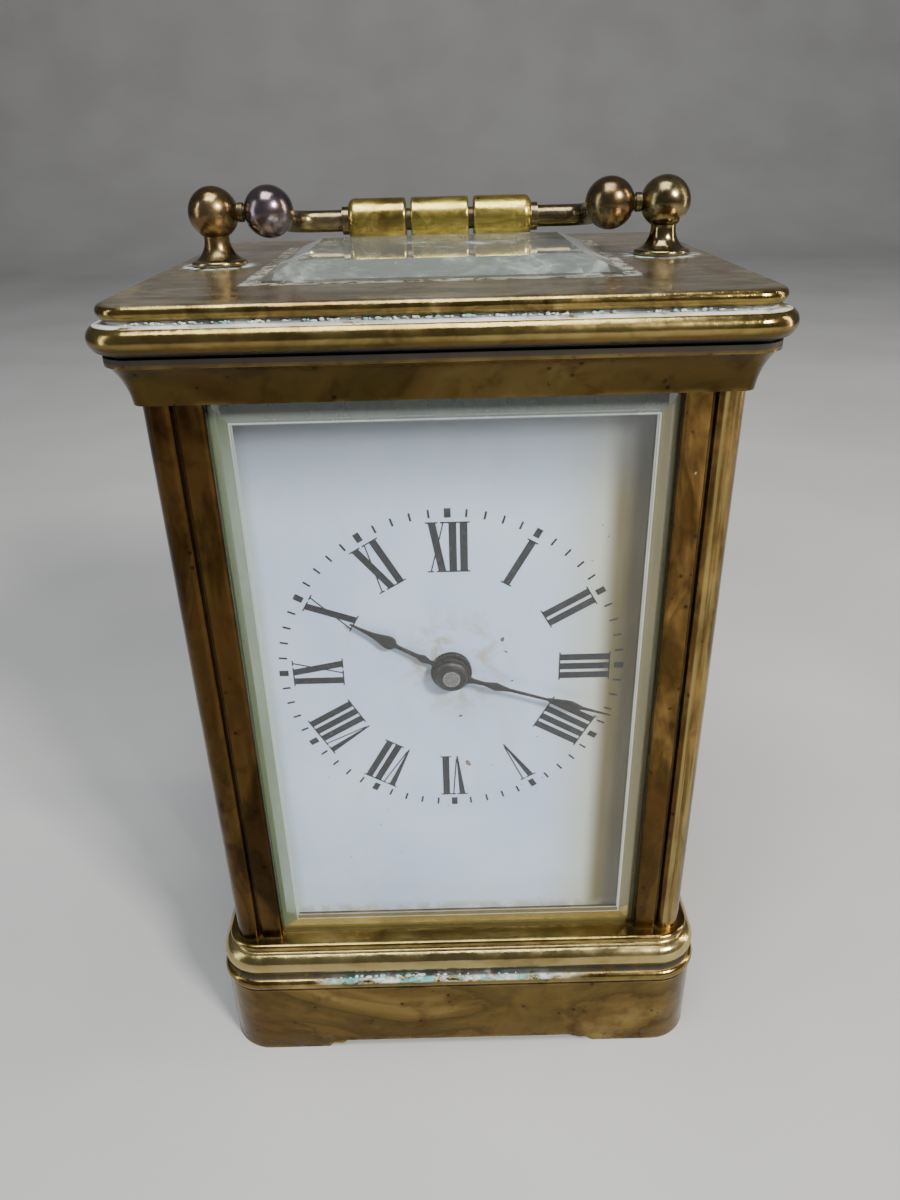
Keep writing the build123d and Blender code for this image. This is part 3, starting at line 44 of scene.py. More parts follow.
# ---------------------------------------------------------------- shader graph helper
class Graph:
    """A material's node tree, with short calls for the nodes used here. Lengths are in mm."""

    def __init__(self, name):
        self.material = bpy.data.materials.new(name)
        self.material.use_nodes = True
        self.tree = self.material.node_tree
        self.tree.nodes.clear()
        self.place = self.add("ShaderNodeTexCoord").outputs["Object"]
        split = self.add("ShaderNodeSeparateXYZ")
        self.feed(split.inputs[0], self.place)
        self.x, self.y, self.z = split.outputs

    def add(self, kind, **settings):
        node = self.tree.nodes.new(kind)
        for key, value in settings.items():
            setattr(node, key, value)
        return node

    def feed(self, socket, value):
        if isinstance(value, bpy.types.NodeSocket):
            self.tree.links.new(value, socket)
        elif isinstance(value, tuple) and socket.type == "RGBA":
            socket.default_value = (*value, 1.0)
        else:
            socket.default_value = value

    def scaled(self, size, stretch=(1, 1, 1), shift=0.0):
        node = self.add("ShaderNodeMapping")
        self.feed(node.inputs["Vector"], self.place)
        node.inputs["Location"].default_value = (shift, 1.7 * shift, 0.6 * shift)
        node.inputs["Scale"].default_value = [1 / (size * MM * s) for s in stretch]
        return node.outputs[0]

    def noise(self, size, detail=3.0, rough=0.5, warp=0.0, stretch=(1, 1, 1), shift=0.0):
        node = self.add("ShaderNodeTexNoise")
        self.feed(node.inputs["Vector"], self.scaled(size, stretch, shift))
        node.inputs["Scale"].default_value = 1.0
        node.inputs["Detail"].default_value = detail
        node.inputs["Roughness"].default_value = rough
        node.inputs["Distortion"].default_value = warp
        return node.outputs["Fac"]

    def cells(self, size, stretch=(1, 1, 1), shift=0.0):
        node = self.add("ShaderNodeTexVoronoi")
        self.feed(node.inputs["Vector"], self.scaled(size, stretch, shift))
        node.inputs["Scale"].default_value = 1.0
        return node.outputs["Distance"]

    def ramp(self, value, *stops):
        node = self.add("ShaderNodeValToRGB")
        self.feed(node.inputs[0], value)
        band = node.color_ramp.elements
        while len(band) < len(stops):
            band.new(0.5)
        for element, (position, colour) in zip(band, stops):
            element.position = position
            element.color = (*colour, 1.0)
        return node.outputs["Color"]

    def span(self, value, low, high, out_low=0.0, out_high=1.0):
        """Smooth step of value from low to high."""
        node = self.add("ShaderNodeMapRange", interpolation_type="SMOOTHSTEP")
        for socket, entry in zip(node.inputs, (value, low, high, out_low, out_high)):
            self.feed(socket, entry)
        return node.outputs[0]

    def rise(self, value, low, high):
        """0 below low, 1 above high (mm)."""
        return self.span(value, low * MM, high * MM)

    def fade(self, value, low, high):
        """1 below low, 0 above high (mm)."""
        return self.span(value, high * MM, low * MM)

    def calc(self, kind, a, b=0.0):
        node = self.add("ShaderNodeMath", operation=kind)
        self.feed(node.inputs[0], a)
        self.feed(node.inputs[1], b)
        return node.outputs[0]

    def times(self, *values):
        total = values[0]
        for value in values[1:]:
            total = self.calc("MULTIPLY", total, value)
        return total

    def band(self, value, low, high, soft):
        """1 between low and high (mm), fading over soft."""
        rise = self.span(value, (low - soft) * MM, low * MM)
        fall = self.span(value, high * MM, (high + soft) * MM, 1.0, 0.0)
        return self.times(rise, fall)

    def near(self, axes, centre, inner, outer):
        """1 within inner mm of a centre given on the named axes, 0 past outer."""
        total = 0.0
        for axis, middle in zip(axes, centre):
            step = self.calc("SUBTRACT", getattr(self, axis), middle * MM)
            total = self.calc("ADD", total, self.calc("MULTIPLY", step, step))
        return self.span(self.calc("SQRT", total), inner * MM, outer * MM, 1.0, 0.0)

    def mix(self, amount, a, b, blend="MIX"):
        node = self.add("ShaderNodeMix", data_type="RGBA", blend_type=blend)
        self.feed(node.inputs["Factor"], amount)
        self.feed(node.inputs[6], a)
        self.feed(node.inputs[7], b)
        return node.outputs[2]

    def blend_value(self, amount, a, b):
        node = self.add("ShaderNodeMix", data_type="FLOAT")
        self.feed(node.inputs["Factor"], amount)
        self.feed(node.inputs[2], a)
        self.feed(node.inputs[3], b)
        return node.outputs[0]

    def cavity(self, reach, inside=False):
        """1 deep in a crevice (or, from inside, on a sharp edge), 0 in the open."""
        node = self.add("ShaderNodeAmbientOcclusion", samples=6, inside=inside, only_local=inside)
        node.inputs["Distance"].default_value = reach * MM
        return self.calc("SUBTRACT", 1.0, node.outputs["AO"])

    def bump(self, height, depth, normal=None):
        """Height 0 to 1 becomes depth mm."""
        node = self.add("ShaderNodeBump")
        node.inputs["Strength"].default_value = 1.0
        node.inputs["Distance"].default_value = depth * MM
        self.feed(node.inputs["Height"], height)
        if normal is not None:
            self.feed(node.inputs["Normal"], normal)
        return node.outputs[0]

    def principled(self, **inputs):
        node = self.add("ShaderNodeBsdfPrincipled")
        for name, value in inputs.items():
            self.feed(node.inputs[name.replace("_", " ")], value)
        return node.outputs[0]

    def finish(self, surface):
        self.feed(self.add("ShaderNodeOutputMaterial").inputs["Surface"], surface)
        return self.material


# ---------------------------------------------------------------- colours (linear)
BRASS_BRIGHT = (0.50, 0.37, 0.13)
BRASS_MID = (0.245, 0.168, 0.050)
BRASS_OLIVE = (0.165, 0.122, 0.036)
BRASS_BROWN = (0.105, 0.062, 0.021)
PATINA = (0.024, 0.018, 0.010)
COPPER_RED = (0.165, 0.075, 0.026)
WORN_GOLD = (0.50, 0.40, 0.17)
RUBBED_GOLD = (0.44, 0.34, 0.12)
BEAD_HIGHLIGHT_GOLD = (0.40, 0.32, 0.12)
FILM_BROWN = (0.20, 0.16, 0.11)
FILM_MID = (0.30, 0.27, 0.21)
FILM_PALE = (0.40, 0.37, 0.31)
RING_WHITE = (0.46, 0.56, 0.56)
SEAT_GREY = (0.42, 0.46, 0.44)
POLISH_GREY = (0.34, 0.36, 0.35)
PALE_VERDIGRIS = (0.36, 0.50, 0.46)
PAINT_FLECK = (0.55, 0.55, 0.42)
BALL_BLOOM = (0.20, 0.155, 0.185)
SMOKE = (0.085, 0.060, 0.055)
CHALK = (0.62, 0.64, 0.60)
VERDIGRIS = (0.10, 0.33, 0.30)
SHADE_BLACK = (0.012, 0.010, 0.008)

PILLAR_TONES = (BRASS_BROWN, (0.17, 0.105, 0.030), (0.25, 0.145, 0.042), BRASS_MID)
BOW_TONES = ((0.085, 0.062, 0.034), (0.15, 0.118, 0.056), (0.21, 0.160, 0.075), (0.38, 0.30, 0.15))
PIN_TONES = tuple(tuple(0.6 * c for c in tone) for tone in BOW_TONES)
GRIP_TONES = ((0.24, 0.175, 0.045), (0.40, 0.30, 0.065), (0.55, 0.42, 0.10), (0.74, 0.58, 0.20))

# ---------------------------------------------------------------- stations on the case (mm)
BASE_BLOCK_TOP = (13.4, 14.6)      # the lower block's darkening fades between these heights
BASE_TORUS = (17.2, 20.4)
BASE_BEAD, BASE_GROOVE = (15.45, 16.05), (16.0, 16.75)
BEAD_POLISH_X = ((-24.0, -19.0), (10.0, 22.0))    # where the deposit rises and fades
BASE_FRONT_Y = (-33.5, -33.0)
CAVETTO_TOP = (113.0, 114.2)
UNDER_TORUS, SHADOW_LINE = (114.5, 115.6), (113.85, 114.9)
CORNICE_TORUS, QUIRK = (115.9, 117.6), (117.72, 118.2)
PLATE_FACE = (119.7, 119.9)
POST_X, RING_R = 31.0, (3.9, 6.4)
TOP_SEAT = (24.2, 21.2)
PILLAR_BEAD_X = (32.6, 35.4)
BOW_BALL, BOW_BLOOM_R = (-23.4, 0.0, 126.8), (3.6, 6.0)


# ---------------------------------------------------------------- metals
def brass(name, tones=(BRASS_BROWN, BRASS_OLIVE, BRASS_MID, BRASS_BRIGHT), shift=0.0, patch=19.0,
          stretch=(1, 1, 1), grime=0.7, wear=0.8, gloss=(0.11, 0.27), extra=None):
    """Aged brass: tide-marked tarnish, dirt in the crevices, bright rubbed edges."""
    brown, olive, mid, bright = tones
    g = Graph(name)
    tide = g.noise(patch, 5, 0.55, 1.1, stretch, shift)
    colour = g.ramp(tide, (0.28, olive), (0.44, mid), (0.50, olive), (0.60, mid), (0.74, bright))
    edge_of_stain = g.span(g.calc("ABSOLUTE", g.calc("SUBTRACT", tide, 0.535)), 0.0, 0.030, 0.55, 0.0)
    colour = g.mix(edge_of_stain, colour, brown)
    cloud = g.noise(3.6, 6, 0.62, 0.4, shift=shift + 3.0)
    colour = g.mix(g.span(cloud, 0.48, 0.70, 0.0, 0.6), colour, brown)
    red = g.noise(19.0, 3, 0.5, 0.6, shift=shift + 9.0)
    colour = g.mix(g.span(red, 0.50, 0.66, 0.0, 0.42), colour, COPPER_RED)
    pits = g.cells(1.9, shift=shift)
    spots = g.times(g.span(pits, 0.10, 0.20, 1.0, 0.0), g.span(cloud, 0.50, 0.58))
    colour = g.mix(g.times(spots, 0.75), colour, PATINA)
    rub = g.times(g.cavity(0.9, inside=True), g.span(g.noise(5.0, 3, 0.6, shift=shift), 0.30, 0.62))
    rub = g.span(rub, 0.10, 0.45, 0.0, wear)
    colour = g.mix(rub, colour, bright)
    dirt = g.cavity(1.8)
    dirt = g.times(g.span(dirt, 0.30, 0.80), g.span(g.noise(2.6, 4, 0.6, shift=shift), 0.20, 0.55), grime)
    colour = g.mix(dirt, colour, PATINA)
    haze = g.noise(6.5, 4, 0.6, 0.5, shift=shift + 5.0)
    rough = g.span(haze, 0.30, 0.70, gloss[0], gloss[1])
    rough = g.blend_value(dirt, rough, 0.62)
    metal = g.blend_value(dirt, 0.97, 0.45)
    scratch = g.noise(0.35, 2, 0.5, 0.0, (1, 1, 26), shift)
    cross = g.noise(0.40, 2, 0.5, 0.0, (22, 1, 1), shift + 2.0)
    normal = g.bump(g.noise(4.5, 3, 0.55, shift=shift), 0.10)
    normal = g.bump(g.noise(0.55, 5, 0.65, shift=shift), 0.012, normal)
    normal = g.bump(g.calc("MULTIPLY", scratch, cross), 0.006, normal)
    look = {"colour": colour, "rough": rough, "metal": metal, "normal": normal}
    if extra:
        extra(g, look)
    return g.finish(g.principled(Base_Color=look["colour"], Metallic=look["metal"], Roughness=look["rough"],
                                 Normal=look["normal"]))


def lay_over(g, look, mask, colour, rough=0.8, metal=0.0, depth=0.12):
    """Put a matt deposit over the metal where mask is 1."""
    look["colour"] = g.mix(mask, look["colour"], colour)
    look["rough"] = g.blend_value(mask, look["rough"], rough)
    look["metal"] = g.blend_value(mask, look["metal"], metal)
    look["normal"] = g.bump(mask, depth, look["normal"])


def base_deposits(g, look):
    """Chalk and verdigris lying on the front bead, painted shade along the groove, the lower block darker and
    glossier.
    """
    block = g.fade(g.z, *BASE_BLOCK_TOP)
    # the lower block is darker and glossier below these heights
    deepen(g, look, block, 0.62)
    look["rough"] = g.blend_value(g.times(block, 0.7), look["rough"], 0.15)
    worn = g.span(g.noise(11.0, 4, 0.6, 0.4, (2.2, 2.2, 1), 2.0), 0.28, 0.60)
    worn = g.times(g.band(g.z, *BASE_TORUS, 0.5), worn)
    look["colour"] = g.mix(g.times(worn, 0.8), look["colour"], WORN_GOLD)
    rise, fall = BEAD_POLISH_X
    along = g.times(g.rise(g.x, *rise), g.fade(g.x, *fall))
    broken = g.span(g.noise(1.5, 5, 0.75, 0.6, (1.8, 1, 1), 4.0), 0.38, 0.58)
    bead = g.band(g.z, *BASE_BEAD, 0.30)
    mask = g.times(g.fade(g.y, *BASE_FRONT_Y), along, broken, bead)
    tint = g.ramp(g.noise(2.8, 3, 0.6, shift=8.0), (0.38, CHALK), (0.50, PALE_VERDIGRIS), (0.60, VERDIGRIS))
    lay_over(g, look, mask, tint, 0.85, 0.0, 0.10)
    # painted shade: a dark band along the groove above the bead
    groove = g.times(g.band(g.z, *BASE_GROOVE, 0.12), g.span(g.noise(3.0, 3, 0.5), 0.25, 0.5))
    lay_over(g, look, g.times(groove, 0.85), SHADE_BLACK, 0.75, 0.1, 0.02)
    scuff = g.span(g.noise(1.8, 4, 0.7, shift=6.0), 0.42, 0.62)
    lay_over(g, look, g.times(g.band(g.z, -1.0, 1.3, 1.6), scuff, 0.7), PATINA, 0.6, 0.3, 0.02)


def deepen(g, look, mask, factor):
    """Thicker tarnish: darkens the metal where mask is 1."""
    darker = g.mix(1.0, look["colour"], (factor, factor * 0.94, factor * 0.86), "MULTIPLY")
    look["colour"] = g.mix(mask, look["colour"], darker)


def cornice_deposits(g, look):
    """Dried polish in the quirk above the torus, painted shadow and shade under the torus, painted dark
    reflection on the cavetto.
    """
    # painted reflection: the down-facing cavetto darkened for the dark surface it reflects
    cavetto = g.fade(g.z, *CAVETTO_TOP)
    deepen(g, look, cavetto, 0.30)
    # painted shade under the torus
    deepen(g, look, g.band(g.z, *UNDER_TORUS, 0.8), 0.45)
    rubbed = g.span(g.noise(7.0, 4, 0.65, 0.8, (2, 2, 1), 6.0), 0.34, 0.60)
    rubbed = g.times(g.band(g.z, *CORNICE_TORUS, 0.4), rubbed)
    look["colour"] = g.mix(g.times(rubbed, 0.42), look["colour"], RUBBED_GOLD)
    look["rough"] = g.blend_value(cavetto, look["rough"], 0.17)
    chalky = g.span(g.noise(3.4, 5, 0.7, 0.3, (2.4, 2.4, 1), 2.0), 0.36, 0.50)
    line = g.times(g.band(g.z, *QUIRK, 0.10), chalky)
    tint = g.ramp(g.noise(4.0, 3, 0.5, shift=3.0), (0.40, POLISH_GREY), (0.62, CHALK))
    lay_over(g, look, g.times(line, 0.9), tint, 0.85, 0.0, 0.08)
    # painted shadow: a dark line under the torus
    lay_over(g, look, g.times(g.band(g.z, *SHADOW_LINE, 0.55), 0.94), SHADE_BLACK, 0.55, 0.3, 0.02)


def plate_deposits(g, look):
    """Brownish film and wipe marks on the top face, hair scratches, white rings round the handle posts."""
    top = g.rise(g.z, *PLATE_FACE)
    wipe = g.noise(4.0, 6, 0.72, 0.8, (3.2, 1, 1), 1.0)
    film = g.times(top, g.span(wipe, 0.36, 0.66, 0.18, 0.62))
    tint = g.ramp(g.noise(9.0, 4, 0.6, shift=2.0), (0.36, FILM_BROWN), (0.52, FILM_MID), (0.66, FILM_PALE))
    lay_over(g, look, film, tint, 0.28, 0.6, 0.02)
    across = g.noise(0.5, 3, 0.6, 0.3, (16, 1, 1), 4.0)
    along = g.noise(0.6, 3, 0.6, 0.3, (1, 12, 1), 9.0)
    look["normal"] = g.bump(g.times(across, along), 0.05, look["normal"])
    chalky = g.span(g.noise(1.4, 5, 0.7, shift=5.0), 0.42, 0.55)
    for side in (-POST_X, POST_X):
        ring = g.near("xy", (side, 0.0), *RING_R)
        lay_over(g, look, g.times(top, ring, chalky, 0.85), RING_WHITE, 0.85, 0.0, 0.06)
    half_x, half_y = TOP_SEAT
    seat = g.times(top, g.band(g.x, -half_x, half_x, 0.4), g.band(g.y, -half_y, half_y, 0.4), chalky)
    lay_over(g, look, g.times(seat, 0.55), SEAT_GREY, 0.8, 0.1, 0.03)


def pillar_deposits(g, look):
    """Painted shade on the left pillars, mottled tarnish, painted highlight streaks down the right beads,
    scattered paint flecks.
    """
    # painted shade: the left pillars darkened for the dark surroundings they reflect
    deepen(g, look, g.fade(g.x, -1.0, 0.0), 0.38)
    deepen(g, look, g.span(g.noise(9.0, 4, 0.6, 0.5, (1, 1, 3), 15.0), 0.42, 0.56), 0.42)
    # painted highlights: bright vertical streaks on the right pillars' beads, where light from the right
    # catches them
    highlight_streaks = g.span(g.noise(0.8, 3, 0.55, 0.0, (1, 1, 45), 21.0), 0.42, 0.56, 0.15, 1.0)
    patches = g.span(g.noise(6.0, 4, 0.6, 0.4, (1, 1, 4), 21.0), 0.30, 0.56)
    bead = g.times(g.band(g.x, *PILLAR_BEAD_X, 0.2), patches, highlight_streaks)
    look["colour"] = g.mix(g.times(bead, 0.6), look["colour"], BEAD_HIGHLIGHT_GOLD)
    fleck = g.times(g.span(g.cells(9.0, (1, 1, 1.6), 7.0), 0.016, 0.030, 1.0, 0.0), 0.8)
    lay_over(g, look, fleck, PAINT_FLECK, 0.7, 0.0, 0.05)


def bow_bloom(g, look):
    """Purple-grey bloom on the left ball of the bow, brown elsewhere."""
    patches = g.span(g.noise(3.0, 3, 0.5), 0.25, 0.55, 0.35, 0.95)
    bloom = g.times(g.near("xyz", BOW_BALL, *BOW_BLOOM_R), patches)
    look["colour"] = g.mix(bloom, look["colour"], BALL_BLOOM)
    smoky = g.span(g.noise(1.6, 4, 0.6, shift=3.0), 0.40, 0.62)
    look["colour"] = g.mix(g.times(smoky, 0.35), look["colour"], SMOKE)


def satin_metal(name, light, dark, rough=(0.22, 0.38), grain=(1, 30, 1), grime=0.5, shift=0.0):
    """Clean movement metal: fine grain, faint tarnish clouds, oil darkening in the corners."""
    g = Graph(name)
    cloud = g.noise(5.0, 4, 0.55, 0.5, shift=shift)
    colour = g.ramp(cloud, (0.32, dark), (0.52, light), (0.70, tuple(0.86 * c for c in light)))
    dirt = g.times(g.span(g.cavity(1.4), 0.20, 0.75), grime)
    colour = g.mix(dirt, colour, tuple(0.22 * c for c in dark))
    rub = g.span(g.cavity(0.35, inside=True), 0.15, 0.55, 0.0, 0.5)
    colour = g.mix(rub, colour, tuple(min(1.0, 1.25 * c) for c in light))
    lines = g.noise(0.30, 2, 0.5, 0.0, grain, shift)
    roughness = g.span(g.calc("ADD", g.times(lines, 0.5), g.times(cloud, 0.5)), 0.35, 0.65, *rough)
    normal = g.bump(lines, 0.004)
    normal = g.bump(g.noise(1.2, 3, 0.5, shift=shift), 0.006, normal)
    return g.finish(g.principled(Base_Color=colour, Metallic=1.0, Roughness=roughness, Normal=normal))


STEEL_BLACK, STEEL_BROWN, STEEL_WORN = (0.004, 0.003, 0.003), (0.010, 0.008, 0.008), (0.035, 0.028, 0.026)
STEEL_EDGE = (0.10, 0.095, 0.095)


def hand_steel():
    """Browned steel of the hands, worn grey along the edges."""
    g = Graph("browned_steel")
    cloud = g.noise(1.3, 4, 0.6, 0.4)
    colour = g.ramp(cloud, (0.34, STEEL_BLACK), (0.54, STEEL_BROWN), (0.70, STEEL_WORN))
    rub = g.span(g.cavity(0.18, inside=True), 0.3, 0.7, 0.0, 0.35)
    colour = g.mix(rub, colour, STEEL_EDGE)
    normal = g.bump(g.noise(0.35, 4, 0.6), 0.008)
    rough = g.span(g.noise(0.8, 3, 0.5, shift=2.0), 0.3, 0.7, 0.28, 0.5)
    return g.finish(g.principled(Base_Color=colour, Metallic=0.5, Roughness=rough, Normal=normal))


# ---------------------------------------------------------------- enamel, paint, glass
ENAMEL_DEEP, ENAMEL_MID, ENAMEL_PALE = (0.47, 0.565, 0.80), (0.54, 0.63, 0.84), (0.62, 0.69, 0.84)
STAIN_TAN, SMEAR_GREY, BOUNCE_YELLOW = (0.40, 0.34, 0.20), (0.50, 0.49, 0.44), (0.48, 0.43, 0.25)
PILLAR_SHADE_OLIVE, LEFT_GREEN, CORNICE_SHADOW_BLUE = (0.095, 0.070, 0.010), (0.36, 0.42, 0.30), (0.115, 0.127, 0.150)
FOOT_OLIVE, PINHOLE, COPPER = (0.25, 0.24, 0.16), (0.10, 0.085, 0.06), (0.36, 0.20, 0.13)
STAIN_PLACE, STAIN_R = (0.5, 69.5), (2.0, 11.5)
BOUNCE_X, PILLAR_SHADE_X, LEFT_X = (11.5, 22.5), (19.8, 22.8), (-26.2, -24.5)
CORNICE_SHADOW_Z, FOOT_Z, ENAMEL_BACK_Y = (90.0, 106.5), (22.8, 24.5), (-24.28, -24.24)


def enamel():
    """Bluish white fired enamel: orange peel, warm stains, pinholes, copper back, with painted light: warm
    bounce light and the right pillar's olive shadow on the right, the cornice's shadow along the top.
    """
    g = Graph("fired_enamel")
    cloud = g.noise(26.0, 4, 0.55, 0.3)
    colour = g.ramp(cloud, (0.34, ENAMEL_DEEP), (0.52, ENAMEL_MID), (0.68, ENAMEL_PALE))
    stain = g.span(g.noise(3.6, 5, 0.65, 0.8, shift=4.0), 0.44, 0.66)
    stain = g.times(g.near("xz", STAIN_PLACE, *STAIN_R), stain)
    colour = g.mix(g.times(stain, 0.85), colour, STAIN_TAN)
    smear = g.times(g.span(g.noise(7.0, 5, 0.6, 1.0, (1, 1, 2.2), 6.0), 0.55, 0.72), 0.18)
    colour = g.mix(smear, colour, SMEAR_GREY)
    # painted light: warm light thrown from the right brass pillar, growing towards the dial's right side
    colour = g.mix(g.times(g.rise(g.x, *BOUNCE_X), 0.70), colour, BOUNCE_YELLOW)
    # painted shade: the right pillar's shadow on the right margin, olive from light thrown off the brass, in
    # soft vertical streaks
    streaky = g.span(g.noise(6.0, 3, 0.5, 0.0, (1, 1, 6), 3.0), 0.2, 0.6, 0.78, 0.95)
    pillar_shade = g.times(g.rise(g.x, *PILLAR_SHADE_X), streaky)
    colour = g.mix(pillar_shade, colour, PILLAR_SHADE_OLIVE)
    colour = g.mix(g.times(g.fade(g.x, *LEFT_X), 0.5), colour, LEFT_GREEN)
    # painted shadow: the cornice's shadow on the top of the dial, deepening towards the top edge
    colour = g.mix(g.times(g.rise(g.z, *CORNICE_SHADOW_Z), 0.86), colour, CORNICE_SHADOW_BLUE)
    low = g.times(g.fade(g.z, *FOOT_Z), g.span(g.noise(2.4, 4, 0.6, shift=9.0), 0.3, 0.6), 0.6)
    colour = g.mix(low, colour, FOOT_OLIVE)
    pin = g.span(g.cells(3.1, shift=2.0), 0.030, 0.055, 1.0, 0.0)
    pin = g.times(pin, g.span(g.noise(12.0, 2, 0.5, shift=5.0), 0.52, 0.6))
    colour = g.mix(g.times(pin, 0.7), colour, PINHOLE)
    colour = g.mix(g.rise(g.y, *ENAMEL_BACK_Y), colour, COPPER)
    normal = g.bump(g.noise(2.2, 2, 0.5), 0.006)
    normal = g.bump(pin, -0.02, normal)
    rough = g.span(g.noise(8.0, 4, 0.6, shift=7.0), 0.35, 0.65, 0.10, 0.20)
    # the enamel's reflection is turned down under the painted pillar shade
    return g.finish(g.principled(Base_Color=colour, Roughness=rough, Normal=normal, IOR=1.52,
                                 Specular_IOR_Level=g.blend_value(pillar_shade, 0.5, 0.04)))


PAINT_BLACK, PAINT_BLUE, PAINT_WORN = (0.003, 0.003, 0.005), (0.008, 0.008, 0.012), (0.045, 0.047, 0.056)


def dial_paint():
    """Blue-black fired paint with lighter worn streaks."""
    g = Graph("dial_paint")
    streak = g.noise(0.55, 4, 0.6, 0.3)
    colour = g.ramp(streak, (0.40, PAINT_BLACK), (0.58, PAINT_BLUE), (0.74, PAINT_WORN))
    normal = g.bump(g.noise(0.3, 3, 0.5), 0.004)
    return g.finish(g.principled(Base_Color=colour, Roughness=0.5, Normal=normal, Specular_IOR_Level=0.25))


def chip_matter(name, dark, light):
    """Bare or rusty spots where the enamel has flaked."""
    g = Graph(name)
    colour = g.ramp(g.noise(0.4, 4, 0.65), (0.40, dark), (0.62, light))
    normal = g.bump(g.noise(0.25, 3, 0.6, shift=1.0), 0.03)
    return g.finish(g.principled(Base_Color=colour, Roughness=0.7, Normal=normal))


DUST_AND_SHEEN_GREY, LET_THROUGH = (0.52, 0.53, 0.50), (0.93, 0.95, 0.93)


def glass(name, tint, dust, mirror=0.3, reflection_layers=None, haze=0.0):
    """Clear old glass: faint green, dusty in patches, with an even pale film as painted reflection where haze
    is set and painted bevel reflections where layers are given. Lamps reach through it.
    """
    g = Graph(name)
    wave = g.bump(g.noise(16.0, 2, 0.5), 0.015)
    smudge = g.span(g.noise(5.0, 5, 0.65, 0.6), 0.52, 0.80, 0.0, 0.05)
    clear = g.principled(Base_Color=tint, Transmission_Weight=1.0, Roughness=smudge, Normal=wave, IOR=1.5,
                         Specular_IOR_Level=mirror)
    film = g.principled(Base_Color=DUST_AND_SHEEN_GREY, Roughness=0.8)
    patch = g.times(g.span(g.noise(7.0, 6, 0.68, 0.5, shift=6.0), 0.52, 0.78), dust)
    fleck = g.span(g.cells(4.6, shift=5.0), 0.022, 0.045, min(1.0, 3 * dust), 0.0)
    dust_and_sheen = g.add("ShaderNodeMixShader")
    # the film lies over dust patches and flecks, and evenly where haze is set; the even part is painted
    # reflection of the bright surround
    g.feed(dust_and_sheen.inputs[0], g.calc("MAXIMUM", g.calc("ADD", patch, haze), fleck))
    g.feed(dust_and_sheen.inputs[1], clear)
    g.feed(dust_and_sheen.inputs[2], film)
    pane = dust_and_sheen.outputs[0]
    # painted bevel reflections: each layer is a glossy film of a flat colour over the pane where its mask is
    # 1
    if reflection_layers:
        for mask, colour in reflection_layers(g):
            edge = g.add("ShaderNodeMixShader")
            g.feed(edge.inputs[0], mask)
            g.feed(edge.inputs[1], pane)
            g.feed(edge.inputs[2], g.principled(Base_Color=colour, Roughness=0.22))
            pane = edge.outputs[0]
    light = g.add("ShaderNodeLightPath")
    passing = g.calc("MAXIMUM", light.outputs["Is Shadow Ray"], light.outputs["Is Diffuse Ray"])
    open_pane = g.add("ShaderNodeBsdfTransparent")
    g.feed(open_pane.inputs["Color"], LET_THROUGH)
    mixed = g.add("ShaderNodeMixShader")
    g.feed(mixed.inputs[0], passing)
    g.feed(mixed.inputs[1], pane)
    g.feed(mixed.inputs[2], open_pane.outputs[0])
    return g.finish(mixed.outputs[0])


BEVEL_WIDTH = 3.9                  # of the fixed panes, mm
# Colours of the painted reflections on the front pane's bevels, and of the painted glint on their ridges
GREEN_GREY, OLIVE_GREY, COOL_GREY = (0.15, 0.19, 0.11), (0.16, 0.145, 0.075), (0.155, 0.17, 0.155)
GILT_BROWN, RIDGE_GLINT = (0.20, 0.15, 0.045), (0.55, 0.60, 0.58)


def front_bevel_reflections(g):
    """Painted reflections on the ground bevels of the front pane, one tint to each side, with painted glints
    along the ridges.
    """
    low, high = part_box("front_glass")
    from_left, from_right = g.calc("SUBTRACT", g.x, low.x), g.calc("SUBTRACT", high.x, g.x)
    from_foot, from_top = g.calc("SUBTRACT", g.z, low.z), g.calc("SUBTRACT", high.z, g.z)
    across, along = g.calc("MINIMUM", from_left, from_right), g.calc("MINIMUM", from_foot, from_top)
    sides, ends = g.calc("LESS_THAN", across, along), g.calc("LESS_THAN", along, across)
    streak = g.span(g.noise(5.0, 4, 0.6, 0.4, (1, 1, 3), 8.0), 0.25, 0.65, 0.62, 1.0)
    layers = []
    for inward, part, colour, strength in (
            (from_left, sides, GREEN_GREY, 0.60), (from_right, sides, OLIVE_GREY, 0.66),
            (from_top, ends, COOL_GREY, 0.78), (from_foot, ends, GILT_BROWN, 0.66)):
        ground = g.fade(inward, BEVEL_WIDTH - 0.04, BEVEL_WIDTH + 0.04)
        layers.append((g.times(ground, part, streak, strength), colour))
        # painted glint along the ridge of each bevel
        ridge = g.band(inward, BEVEL_WIDTH - 0.10, BEVEL_WIDTH + 0.06, 0.06)
        layers.append((g.times(ridge, part, streak, 0.55), RIDGE_GLINT))
    return layers


CHALK_GREEN, CHALK_GREY = (0.30, 0.40, 0.38), (0.52, 0.57, 0.54)


def chalk_matter():
    """Dried metal polish, white to turquoise, crumbly."""
    g = Graph("dried_polish")
    colour = g.ramp(g.noise(1.3, 4, 0.6), (0.38, CHALK_GREEN), (0.52, CHALK_GREY), (0.64, CHALK))
    green = g.span(g.noise(4.0, 2, 0.5, shift=6.0), 0.50, 0.66, 0.0, 0.7)
    colour = g.mix(green, colour, VERDIGRIS)
    normal = g.bump(g.noise(0.28, 4, 0.7, shift=2.0), 0.05)
    return g.finish(g.principled(Base_Color=colour, Roughness=0.88, Normal=normal))


FLOOR_DARK, FLOOR_LIGHT = (0.36, 0.35, 0.34), (0.40, 0.39, 0.38)


